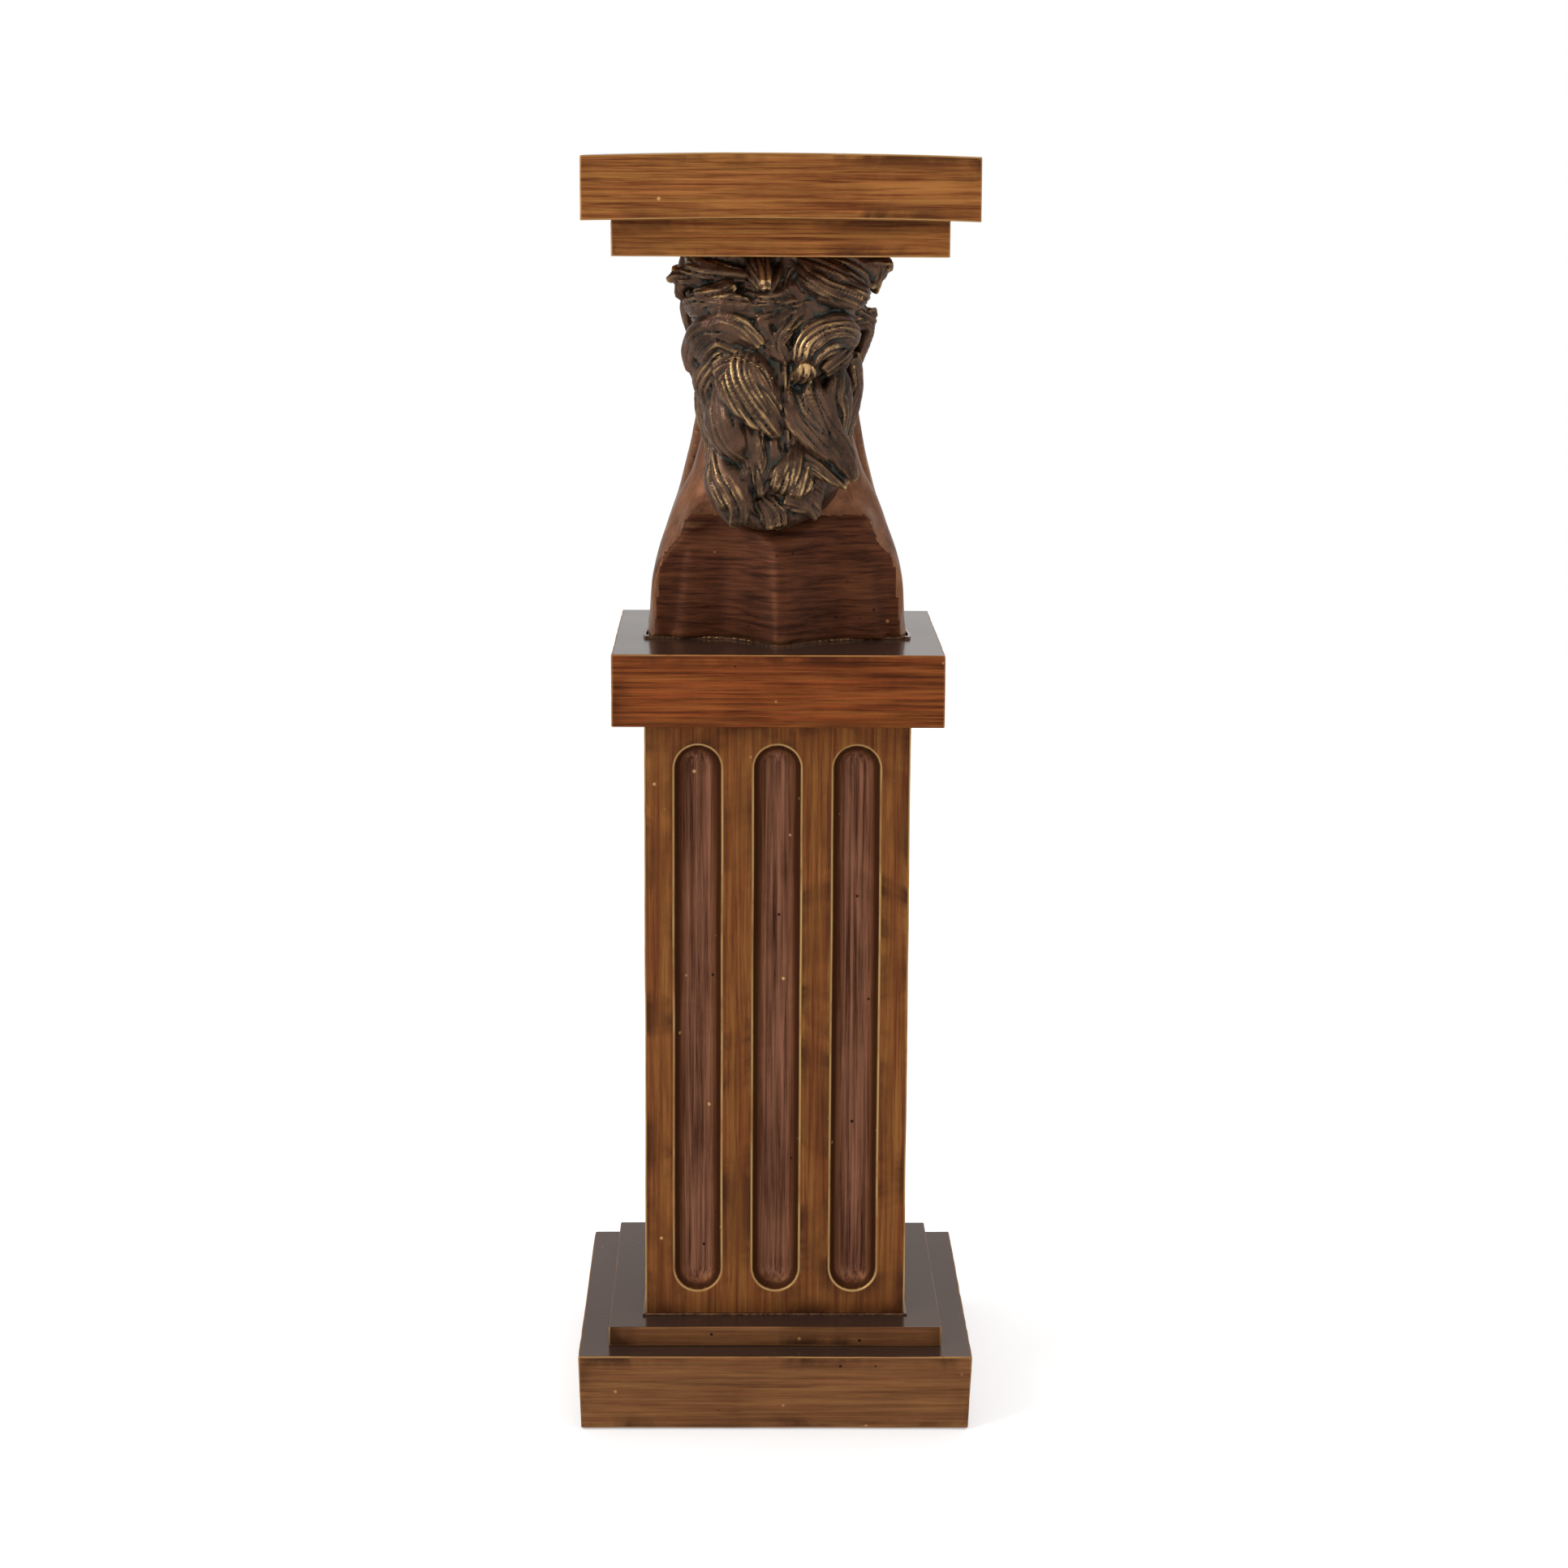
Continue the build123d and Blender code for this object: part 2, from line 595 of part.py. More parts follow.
# Forelock and ears
with BuildPart() as forelock:
    for stations in forelock_locks:
        loft(lock_faces(stations))
    for neighbour in (head.part, bust_form, plate_blank.part):
        add(neighbour, mode=Mode.SUBTRACT)
    split(bisect_by=Plane.XY.offset(bust_top - bust_plate_height), keep=Keep.BOTTOM)
write(forelock.part, "forelock")

ears = {"ear_left": -1, "ear_right": 1}
for name, side in ears.items():
    with BuildPart() as ear:
        loft(lock_faces([(side * station[0], *station[1:]) for station in ear_stations]))
        for neighbour in (head.part, bust_form, plate_blank.part, forelock.part):
            add(neighbour, mode=Mode.SUBTRACT)
    ears[name] = ear.part
    write(ear.part, name)

# Mane: one form of a body and its locks, cut into the castings that the weld seams show
with BuildPart() as mane_hollow:
    loft([mane_body_face(*row, inset=mane_hollow_wall) for row in mane_body
          if mane_hollow_ends[0] < row[0] < mane_hollow_ends[1]])

with BuildPart() as mane:
    loft([mane_body_face(*row) for row in mane_body])
    for stations in mane_locks:
        loft(lock_faces(stations))
    split(bisect_by=Plane.XY.offset(bust_top), keep=Keep.BOTTOM)
    for neighbour in (bust_form, mane_hollow.part, plate_blank.part, head.part, forelock.part,
                      *ears.values()):
        add(neighbour, mode=Mode.SUBTRACT)

curl_plane = Plane.XY.offset(level(curl_seam))
fall_plane = Plane.XY.offset(level(fall_seam))
middle_plane = Plane.YZ.offset(middle_seam)
mane_cuts = {
    "mane_crest": [(curl_plane, Keep.TOP)],
    "mane_left_curl": [(curl_plane, Keep.BOTTOM), (fall_plane, Keep.TOP), (middle_plane, Keep.BOTTOM)],
    "mane_right_curl": [(curl_plane, Keep.BOTTOM), (fall_plane, Keep.TOP), (middle_plane, Keep.TOP)],
    "mane_left_fall": [(fall_plane, Keep.BOTTOM), (middle_plane, Keep.BOTTOM)],
    "mane_right_fall": [(fall_plane, Keep.BOTTOM), (middle_plane, Keep.TOP)],
}
for name, cuts in mane_cuts.items():
    with BuildPart() as casting:
        add(mane.part)
        for plane, kept in cuts:
            split(bisect_by=plane, keep=kept)
    write(casting.part, name)

# Top step: tray open above, screwed to the plate on the neck
with BuildPart() as top_step:
    add(square_box(top_step_width, bust_top, top_step_top, edge_round))
    with BuildSketch(Plane.XY.offset(bust_top + wall)):
        Rectangle(top_step_width - 2 * wall, top_step_width - 2 * wall)
    extrude(amount=top_step_height, mode=Mode.SUBTRACT)
    with BuildSketch(Plane.XY.offset(bust_top)):
        with Locations(*screw_places):
            Circle(screw_boss_width / 2)
    extrude(amount=top_step_height)
    with BuildSketch(Plane.XY.offset(bust_top)):
        with Locations(*top_places, *screw_places):
            Circle(screw_size / 2 + bore_clearance)
    extrude(amount=top_step_height, mode=Mode.SUBTRACT)
    with BuildSketch(Plane.XY.offset(bust_top)):
        with Locations(*screw_places):
            Circle(screw_head_width / 2 + 2 * bore_clearance)
    extrude(amount=screw_recess, mode=Mode.SUBTRACT)
write(top_step.part, "top_step")

top_bolt_reach = screw_washer_height + wall + bust_plate_height - thread_end_gap
top_bolt = bolt(screw_size, screw_head_width, screw_head_height, top_bolt_reach,
                bust_top + wall + screw_washer_height, upward=False)
write(placed(top_bolt, top_places), "bust_top_bolts")
top_washer = washer(screw_size, screw_washer_width, screw_washer_height, bust_top + wall)
write(placed(top_washer, top_places), "bust_top_washers")

# Top: closed box with threaded bosses inside
with BuildPart() as table_top:
    add(square_box(top_width, top_step_top, table_height, edge_round))
    add(square_box(top_width - 2 * wall, top_step_top + wall, table_height - wall), mode=Mode.SUBTRACT)
    with BuildSketch(Plane.XY.offset(top_step_top)):
        Rectangle(soffit_opening, soffit_opening)
    extrude(amount=wall, mode=Mode.SUBTRACT)
    with BuildSketch(Plane.XY.offset(top_step_top)):
        with Locations(*screw_places):
            Circle(screw_boss_width / 2)
    extrude(amount=screw_boss_height)
    with BuildSketch(Plane.XY.offset(top_step_top)):
        with Locations(*screw_places):
            Circle(screw_size / 2 + thread_clearance)
    extrude(amount=screw_boss_height, mode=Mode.SUBTRACT)
write(table_top.part, "table_top")

top_screw_reach = top_step_height - screw_recess + screw_boss_height - thread_end_gap
top_screw = bolt(screw_size, screw_head_width, screw_head_height, top_screw_reach, bust_top + screw_recess)
write(placed(top_screw, screw_places), "table_top_screws")
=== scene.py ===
# %% [markdown]
# # A pedestal table of cast bronze
# The real object is a pedestal about a metre tall, cast in bronze and given a brown patina by hand.
# A fluted square column stands on a stepped base, and a horse bust on its cap carries a thick square top.
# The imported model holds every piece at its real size. This script gives each piece its hand-made surface:
# uneven slabs with rubbed rims, a sculpted neck and head, and a mane of locks with engraved strands.

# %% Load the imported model
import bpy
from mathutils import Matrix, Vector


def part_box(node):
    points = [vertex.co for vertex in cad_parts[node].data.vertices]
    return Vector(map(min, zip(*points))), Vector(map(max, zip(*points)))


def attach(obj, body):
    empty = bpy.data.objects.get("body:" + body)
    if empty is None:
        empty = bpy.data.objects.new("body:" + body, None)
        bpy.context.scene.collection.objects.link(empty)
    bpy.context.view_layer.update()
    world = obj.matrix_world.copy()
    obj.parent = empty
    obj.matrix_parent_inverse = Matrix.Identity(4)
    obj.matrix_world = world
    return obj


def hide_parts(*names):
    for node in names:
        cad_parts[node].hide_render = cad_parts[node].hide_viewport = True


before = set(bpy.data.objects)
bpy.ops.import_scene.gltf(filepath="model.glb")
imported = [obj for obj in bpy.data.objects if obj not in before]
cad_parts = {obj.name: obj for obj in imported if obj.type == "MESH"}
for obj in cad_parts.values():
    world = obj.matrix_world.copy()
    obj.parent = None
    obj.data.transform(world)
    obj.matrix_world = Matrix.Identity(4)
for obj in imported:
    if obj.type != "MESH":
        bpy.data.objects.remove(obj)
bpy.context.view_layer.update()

# %% [markdown]
# ## Libraries and units
# Blender counts in metres and the piece was measured in millimetres, so every length is written as a number
# times mm. numpy moves thousands of vertices at once, and bmesh cuts, bevels and fuses meshes.

# %% Libraries and units
import math
from contextlib import contextmanager

import bmesh
import bpy
import numpy as np
from mathutils import Vector, noise

# noise_vector takes its offsets from the clock unless a seed is set, and every run has to give the same shapes
noise.seed_set(7)

mm = 0.001


def box_of(node):
    """Lowest and highest corner of a CAD node, in metres."""
    low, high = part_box(node)
    return Vector(low), Vector(high)


# %% [markdown]
# ## The camera
# The photograph looks slightly down on the back of the bust. Its place was found by matching the corners of the
# slabs: a little under three metres away, just above the top. A camera aims along its own -Z, so it is turned up
# from straight down about X, a little about Z, and rolled about its own axis by a third of a degree.

# %% Place the camera
camera_place = Vector((-28.0, -2701.2, 1015.1)) * mm
camera_pitch = math.radians(90.0) - 0.1875
camera_yaw = -0.0128
camera_roll = 0.0052
camera_focus_pixels = 4092.4
image_pixels = 1932
sensor_width = 36.0

bpy.ops.object.select_all(action="DESELECT")
bpy.ops.object.camera_add(location=camera_place, rotation=(camera_pitch, 0.0, camera_yaw))
camera = bpy.context.object
camera.name = "photo_camera"
camera.rotation_euler.rotate_axis("Z", camera_roll)
camera.data.sensor_width = sensor_width
camera.data.lens = camera_focus_pixels / image_pixels * sensor_width
bpy.context.scene.camera = camera
print("lens", round(camera.data.lens, 2))

# %% [markdown]
# ## Colours and nodes
# Colours are given as sRGB hex values, and Blender computes in linear light, so one function converts
# them. A second small function adds a shader node with its settings and joins it up, which keeps each material
# short enough to read in one go.

# %% Colour and node helpers


def linear(hex_code):
    """An sRGB hex colour such as 9A5A22 as linear red, green, blue and alpha."""
    channels = [int(hex_code[start:start + 2], 16) / 255.0 for start in (0, 2, 4)]
    return [c / 12.92 if c <= 0.04045 else ((c + 0.055) / 1.055) ** 2.4 for c in channels] + [1.0]


def fill(node, inputs):
    """Sets inputs by name or number, or links them to a socket or to the first output of another node."""
    for socket, value in inputs.items():
        if isinstance(value, bpy.types.Node):
            value = value.outputs[0]
        if isinstance(value, bpy.types.NodeSocket):
            node.id_data.links.new(value, node.inputs[socket])
        else:
            node.inputs[socket].default_value = value


def add_node(tree, kind, inputs=None, **settings):
    """Adds one shader node, sets its properties, and fills its inputs."""
    made = tree.nodes.new("ShaderNode" + kind)
    for name, value in settings.items():
        setattr(made, name, value)
    fill(made, inputs or {})
    return made


def new_material(name):
    """An empty node material with its shader, ready to be joined up."""
    material = bpy.data.materials.new(name)
    material.use_nodes = True
    return material, material.node_tree, material.node_tree.nodes["Principled BSDF"]


def background_rays(tree):
    """1 for the rays that meet the white background: from the camera, off metal, and through glass."""
    rays = add_node(tree, "LightPath")
    off_metal = add_node(tree, "Math", {0: rays.outputs["Is Camera Ray"], 1: rays.outputs["Is Glossy Ray"]},
                         operation="MAXIMUM")
    return add_node(tree, "Math", {0: off_metal, 1: rays.outputs["Is Transmission Ray"]}, operation="MAXIMUM")


print("bronze brown in linear light", [round(c, 3) for c in linear("9A5A22")])

# %% [markdown]
# ## Floor, backdrop and light
# The object stands on a white floor in a white room with soft light from above and in front. White comes from
# what the camera and the reflections see, not from more light: the floor and the world show white to the camera,
# to metal and to glass, and the lamps stay low. The floor is matt paint with a little glow added for those rays.

# %% Floor
floor_size = 8.0
bpy.ops.object.select_all(action="DESELECT")
bpy.ops.mesh.primitive_plane_add(size=floor_size, location=(0.0, 0.0, 0.0))
floor = bpy.context.object
floor.name = "studio_floor"
floor_material, tree, shader = new_material("matte_white_paint")
fill(shader, {"Base Color": linear("E6E6E6"), "Roughness": 0.9, "Specular IOR Level": 0.1})
glow = add_node(tree, "Emission", {"Color": (1.0, 1.0, 1.0, 1.0), "Strength": 0.42})
shadow_keeper = add_node(tree, "AddShader", {0: shader, 1: glow})
floor_mix = add_node(tree, "MixShader", {0: background_rays(tree), 1: shader, 2: shadow_keeper})
fill(tree.nodes["Material Output"], {"Surface": floor_mix})
floor.data.materials.append(floor_material)
print("floor", floor_size, "m")

# %% [markdown]
# The room's own light grows from the floor up, as under a wide soft ceiling light. Only matt surfaces take it,
# because the camera, metal and glass see plain white.

# %% World
world = bpy.data.worlds.new("grey_studio")
bpy.context.scene.world = world
world.use_nodes = True
tree = world.node_tree
direction = add_node(tree, "TexCoord")
height = add_node(tree, "SeparateXYZ", {0: direction.outputs["Generated"]})
rise = add_node(tree, "MapRange", {"Value": height.outputs["Z"], "From Min": -0.2, "From Max": 0.9,
                                   "To Min": 0.16, "To Max": 0.85}, interpolation_type="SMOOTHSTEP")
level_mix = add_node(tree, "Mix", {0: background_rays(tree), 2: rise, 3: 1.0}, data_type="FLOAT")
fill(tree.nodes["Background"], {"Color": (1.0, 1.0, 1.0, 1.0), "Strength": level_mix})
print("world nodes", len(tree.nodes))

# %% [markdown]
# Three soft boxes light the bronze: a key from the left and above, a weak fill from the right, and one behind
# that draws the outline. Each row is a place and a size in metres, and a power in watts.

# %% Lamps
lamps = {
    "key_softbox": ((-2.5, -1.9, 2.1), 1.4, 46.0),
    "fill_softbox": ((2.0, -2.1, 1.6), 1.5, 5.0),
    "back_softbox": ((0.6, 2.4, 2.2), 1.6, 20.0),
}
aim = Vector((0.0, 0.0, 0.6))
for name, (place, size, watts) in lamps.items():
    bpy.ops.object.select_all(action="DESELECT")
    bpy.ops.object.light_add(type="AREA", location=place)
    lamp = bpy.context.object
    lamp.name = name
    lamp.data.size = size
    lamp.data.energy = watts
    lamp.rotation_euler = (aim - Vector(place)).to_track_quat("-Z", "Y").to_euler()
bpy.context.scene.view_settings.view_transform = "Standard"
print("lamps", list(lamps))

# %% [markdown]
# ## Rubbed brown patina
# The maker paints a hot brown patina over bright bronze with a wide brush and then rubs it off the edges. So each
# finish has brush strokes that run one way, cloudy patches, small casting pits and beads, a darker tone in
# hollows and bare metal on rims and crests. A stroke is a noise stretched along one axis. Each mesh carries
# numbers per vertex that steer the rest: the distance from its nearest edge, how deep it lies, how far it stands
# out, and how much painted shade it takes, which only the flutes' side walls get.

# %% Patina material


def patina(name, light, dark, golden, rim, hollow, strokes, stroke_contrast=0.55, gloss=0.42, top=None):
    """Brushed brown patina. hollow is a dark and a light tone; strokes are counts per metre along X, Y and Z."""
    material, tree, shader = new_material(name)
    place = add_node(tree, "TexCoord")
    at = place.outputs["Object"]
    stretched = add_node(tree, "Mapping", {"Vector": at, "Scale": strokes})
    broad = add_node(tree, "Mapping", {"Vector": at, "Scale": [0.45 * rate + 3.0 for rate in strokes]})
    stroke = add_node(tree, "TexNoise", {"Vector": stretched, "Scale": 1.0, "Detail": 7.0, "Roughness": 0.68,
                                         "Distortion": 0.35})
    passes = add_node(tree, "TexNoise", {"Vector": broad, "Scale": 1.0, "Detail": 5.0, "Roughness": 0.7})
    cloud = add_node(tree, "TexNoise", {"Vector": at, "Scale": 12.0, "Detail": 4.0, "Roughness": 0.6,
                                        "Distortion": 0.8})
    grain = add_node(tree, "TexNoise", {"Vector": at, "Scale": 420.0, "Detail": 3.0})
    pits = add_node(tree, "TexVoronoi", {"Vector": at, "Scale": 46.0, "Randomness": 1.0})
    beads = add_node(tree, "TexVoronoi", {"Vector": at, "Scale": 33.0, "Randomness": 1.0})
    edge, depth, crest, painted_side_shade = [add_node(tree, "Attribute", attribute_name=number).outputs["Fac"]
                                 for number in ("edge", "hollow", "crest", "shade")]
    both = add_node(tree, "Mix", {0: 0.22, 2: stroke, 3: cloud}, data_type="FLOAT")
    # How each pattern is read: where its ramp starts and ends, and what it gives there
    readings = {
        "light": (both, 0.5 - 0.045 / stroke_contrast, 0.5 + 0.055 / stroke_contrast, 0.0, 1.0),
        "golden": (passes, 0.46, 0.68, 0.0, 0.6),
        "by_edge": (edge, 1.5, 17.0, 0.9, 0.0),
        "smudged": (cloud, 0.45, 0.62, 0.0, 1.0),
        "pit": (pits.outputs["Distance"], 0.045, 0.075, 1.0, 0.0),
        "pit_kept": (pits.outputs["Color"], 0.4, 0.45, 0.0, 1.0),
        "bead": (beads.outputs["Distance"], 0.025, 0.06, 1.0, 0.0),
        "bead_kept": (beads.outputs["Color"], 0.42, 0.47, 0.0, 1.0),
        "on_rim": (edge, 0.4, 1.6, 1.0, 0.0),
        "broken": (cloud, 0.36, 0.56, 0.35, 1.0),
        "rough": (stroke, 0.3, 0.7, gloss + 0.1, gloss - 0.06),
    }
    sockets = ("Value", "From Min", "From Max", "To Min", "To Max")
    read = {key: add_node(tree, "MapRange", dict(zip(sockets, row))) for key, row in readings.items()}
    # Dark smudges lie near the edges, and painted shade on the flutes' side walls joins them; pits and beads are kept
    # only where a cell's own colour allows them
    smudge = add_node(tree, "Math", {0: read["by_edge"], 1: read["smudged"]}, operation="MULTIPLY")
    darker = add_node(tree, "Math", {0: smudge, 1: painted_side_shade}, operation="MAXIMUM")
    pit = add_node(tree, "Math", {0: read["pit"], 1: read["pit_kept"]}, operation="MULTIPLY")
    bead = add_node(tree, "Math", {0: read["bead"], 1: read["bead_kept"]}, operation="MULTIPLY")
    # Bare metal shows on rims and crests, broken up by the clouds, and on beads
    rubbed = add_node(tree, "Math", {0: read["on_rim"], 1: crest}, operation="MAXIMUM")
    worn = add_node(tree, "Math", {0: rubbed, 1: read["broken"]}, operation="MULTIPLY")
    bare = add_node(tree, "Math", {0: worn, 1: bead}, operation="MAXIMUM", use_clamp=True)
    # Tones go over one another: brown, golden passes, smudges with painted shade, hollows, pits, bare metal
    paint = add_node(tree, "Mix", {0: read["light"], 6: linear(dark), 7: linear(light)}, data_type="RGBA")
    in_hollow = add_node(tree, "Mix", {0: read["light"], 6: linear(hollow[0]), 7: linear(hollow[1])},
                         data_type="RGBA")
    for share, tone in ((read["golden"], linear(golden)), (darker, linear(hollow[0])),
                        (depth, in_hollow.outputs[2]), (pit, linear("2A170E")), (bare, linear(rim))):
        paint = add_node(tree, "Mix", {0: share, 6: paint.outputs[2], 7: tone}, data_type="RGBA")
    colour, rough = paint.outputs[2], read["rough"]
    if top:
        # Faces that look up get a darker tone without strokes, a painted dark reflection, and are smoother
        facing = add_node(tree, "SeparateXYZ", {0: place.outputs["Normal"]})
        upward = add_node(tree, "MapRange", {"Value": facing.outputs["Z"], "From Min": 0.86, "From Max": 0.97})
        painted_reflection_share = add_node(tree, "Math", {0: upward, 1: bare}, operation="SUBTRACT", use_clamp=True)
        colour = add_node(tree, "Mix", {0: painted_reflection_share, 6: colour, 7: linear(top)}, data_type="RGBA").outputs[2]
        rough = add_node(tree, "Mix", {0: painted_reflection_share, 2: rough, 3: 0.17}, data_type="FLOAT")
    # Relief: strokes and grain are shallow, pits go in and beads stand out
    relief = 0.0
    for pattern, share in ((stroke, 0.5), (grain, 0.12), (pit, -0.8), (bead, 0.8)):
        relief = add_node(tree, "Math", {0: pattern, 1: share, 2: relief}, operation="MULTIPLY_ADD")
    # Patina is partly metal and bare bronze more so; its dull film keeps a glancing view from turning white
    metal = add_node(tree, "MapRange", {"Value": bare, "To Min": 0.38, "To Max": 0.85})
    bump = add_node(tree, "Bump", {"Height": relief, "Strength": 0.5, "Distance": 0.6 * mm})
    fill(shader, {"Base Color": colour, "Roughness": rough, "Metallic": metal, "Normal": bump,
                  "Specular Tint": linear("AEA8A2"), "Specular IOR Level": 0.22})
    return material


# The dark tone of the faces that look up is a painted reflection
painted_reflection_top = "4E3A31"
top_bronze = patina("brushed_orange_brown_bronze", "AB6B39", "68361B", "B98342", "C1945E", ("422112", "582D19"),
                    (11.0, 11.0, 520.0), top=painted_reflection_top)
cap_bronze = patina("brushed_red_brown_bronze", "8F4823", "4A220F", "9F5F2D", "B6814C", ("33180D", "492213"),
                    (9.0, 9.0, 420.0), top=painted_reflection_top)
base_bronze = patina("brushed_umber_bronze", "8A5936", "5E3B24", "9C6F42", "AD804E", ("392215", "4B2D1B"),
                     (6.0, 6.0, 300.0), stroke_contrast=0.4, top=painted_reflection_top)
column_bronze = patina("upright_brushed_bronze", "8F562C", "5E311A", "9B6B35", "BE9A64", ("391D11", "94634D"),
                       (330.0, 330.0, 7.0), stroke_contrast=0.4, top=painted_reflection_top)
print("patinas", [material.name for material in bpy.data.materials if "bronze" in material.name])

# %% [markdown]
# ## Slabs and column panels
# Each slab is a hollow casting with walls about five millimetres thick. The CAD bodies already have the walls,
# bosses and bores, so a copy of each is taken, its loose triangles are merged into whole faces, and it is cut
# into a grid. A grid has enough vertices to carry a slight hand-cast unevenness. One field of unevenness
# moves every piece, so pieces that touch still touch.

# %% Reading and writing meshes
merge_distance = 0.01 * mm


def vertex_places(piece):
    """Vertex coordinates of a piece as an array with one row per vertex."""
    flat = np.empty(len(piece.data.vertices) * 3)
    piece.data.vertices.foreach_get("co", flat)
    return flat.reshape(-1, 3)


def move_vertices(piece, places):
    """Writes an array of coordinates back to the piece."""
    piece.data.vertices.foreach_set("co", places.ravel())
    piece.data.update()


def unit(values):
    """Values held between 0 and 1."""
    return np.clip(values, 0.0, 1.0)


def noise_at(places, rate):
    """Smooth noise at each place, with about that many bumps per metre."""
    return np.array([noise.noise(Vector(place) * rate) for place in places])


def set_numbers(piece, **numbers):
    """Stores one number per vertex under each name, for the materials to read."""
    for name, values in numbers.items():
        layer = piece.data.attributes.get(name) or piece.data.attributes.new(name, "FLOAT", "POINT")
        rows = np.broadcast_to(values, len(piece.data.vertices))
        layer.data.foreach_set("value", np.ascontiguousarray(rows, dtype=np.float32))


@contextmanager
def opened(piece):
    """The mesh of a piece, opened for editing and written back when the block ends."""
    form = bmesh.new()
    form.from_mesh(piece.data)
    yield form
    form.to_mesh(piece.data)
    form.free()


def new_piece(name, mesh=None):
    """A new object in the scene, with the mesh given or an empty one."""
    piece = bpy.data.objects.new(name, mesh or bpy.data.meshes.new(name))
    bpy.context.scene.collection.objects.link(piece)
    return piece


def cad_copy(node, name):
    """A new piece from a copy of a CAD node's mesh, its triangles merged into whole faces."""
    piece = new_piece(name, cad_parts[node].data.copy())
    with opened(piece) as form:
        bmesh.ops.remove_doubles(form, verts=form.verts, dist=merge_distance)
        bmesh.ops.dissolve_limit(form, angle_limit=math.radians(0.5), verts=form.verts, edges=form.edges)
    piece.data.materials.clear()
    return piece


def select_only(piece):
    """Makes a piece the one that the next operator works on."""
    bpy.ops.object.select_all(action="DESELECT")
    bpy.context.view_layer.objects.active = piece
    piece.select_set(True)


def finish_piece(piece, material, nodes, angle=30.0):
    """Shades a piece smooth, gives it its material, and sets it in the frame for its CAD nodes."""
    select_only(piece)
    bpy.ops.object.shade_smooth_by_angle(angle=math.radians(angle))
    piece.data.materials.clear()
    piece.data.materials.append(material)
    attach(piece, "root")
    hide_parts(*nodes)
    piece.data.calc_loop_triangles()
    print(piece.name, len(piece.data.loop_triangles), "triangles")


# %% [markdown]
# The grid has one more cut close to each end of a slab, so that the rubbed rim stays narrow. The two ends of the
# real table top came out of the mould a little low, so the top droops towards them.

# %% Cutting and waving
grid_spacing, rim_margin = 12.0 * mm, 2.6 * mm
wave_size, bite_size = 0.55 * mm, 0.7 * mm
droop_size, droop_half = 2.4 * mm, 152.0 * mm
droop_start, droop_full = 945.0 * mm, 972.0 * mm


def cut_grid(piece, spacing=grid_spacing):
    """Cuts the piece by parallel planes along each axis."""
    places = vertex_places(piece)
    with opened(piece) as form:
        for number, normal in enumerate(np.eye(3)):
            low, high = places[:, number].min(), places[:, number].max()
            steps = max(int(round((high - low) / spacing)), 1)
            stops = [low + (high - low) * step / steps for step in range(1, steps)]
            for stop in [low + rim_margin] + stops + [high - rim_margin]:
                bmesh.ops.bisect_plane(form, geom=form.verts[:] + form.edges[:] + form.faces[:],
                                       plane_co=normal * stop, plane_no=normal, dist=merge_distance)


def wave(places, edge):
    """Moves places by a smooth field that is the same for every piece, and nibbles at the edges."""
    moved = places.copy()
    up_the_top = unit((places[:, 2] - droop_start) / (droop_full - droop_start))
    moved[:, 2] -= droop_size * (places[:, 0] / droop_half) ** 2 * up_the_top
    moved += np.array([noise.noise_vector(Vector(place) * 9.0) for place in places]) * wave_size
    bite = np.where(edge < 2.0, np.maximum(noise_at(places, 85.0), 0.0), 0.0) * bite_size
    moved[:, :2] -= np.sign(places[:, :2]) * bite[:, None] * (np.abs(places[:, :2]) > 0.02)
    return moved


# %% [markdown]
# The five slabs are all square, so one loop makes them. The distance from the nearest outer edge allows for
# sides that slope, and it steers the rubbed rim and the smudges.

# %% Cast slabs


def slab_edge_distance(places):
    """Distance of each vertex from the nearest outer edge of its slab, in millimetres."""
    low, high = places.min(axis=0), places.max(axis=0)
    middle = 0.5 * (low[2] + high[2])
    half_low = np.abs(places[places[:, 2] < middle][:, :2]).max()
    half_high = np.abs(places[places[:, 2] >= middle][:, :2]).max()
    share = (places[:, 2] - low[2]) / (high[2] - low[2])
    half = half_low + (half_high - half_low) * share
    to_sides = half[:, None] - np.abs(places[:, :2])
    to_ends = np.minimum(places[:, 2] - low[2], high[2] - places[:, 2])
    return np.sort(np.column_stack([to_sides, to_ends]), axis=1)[:, 1] / mm


slabs = {"table_top": top_bronze, "top_step": top_bronze, "cap_slab": cap_bronze, "base_step": base_bronze,
         "base_slab": base_bronze}
for node, material in slabs.items():
    slab = cad_copy(node, "cast_" + node)
    cut_grid(slab)
    places = vertex_places(slab)
    edge = slab_edge_distance(places)
    low, high = box_of(node)
    low.z -= droop_size if node == "table_top" else 0.0
    move_vertices(slab, np.clip(wave(places, edge), low, high))
    set_numbers(slab, edge=edge, hollow=0.0, crest=0.0)
    finish_piece(slab, material, [node])

# %% [markdown]
# ## Fluted column
# Four cast panels meet at the corners, and each has three round-ended flutes. On the real column the flutes
# have a soft rolled lip that the cloth has rubbed bright. The lip is a bevel on the edge where a flute meets the
# face, and the flute's depth is stored on its vertices, so that its hollow takes a purple-brown tone. The side
# walls of each flute also carry painted shade, a dark tone stored as the shade number.

# %% Column panels
flute_pitch, flute_radius, flute_depth = 63.3 * mm, 19.0 * mm, 13.0 * mm
flute_low, flute_high = 100.5 * mm, 554.0 * mm
column_half, lip_width, panel_grid = 106.0 * mm, 1.3 * mm, 6.4 * mm
column_low, column_high = box_of("column_front")


def flute_distance(aside, height):
    """Signed distance from the nearest flute's outline, negative inside it."""
    nearest = np.clip(np.round(aside / flute_pitch), -1, 1) * flute_pitch
    beyond = np.maximum(0.0, np.maximum(flute_low + flute_radius - height, height - flute_high + flute_radius))
    return np.hypot(aside - nearest, beyond) - flute_radius


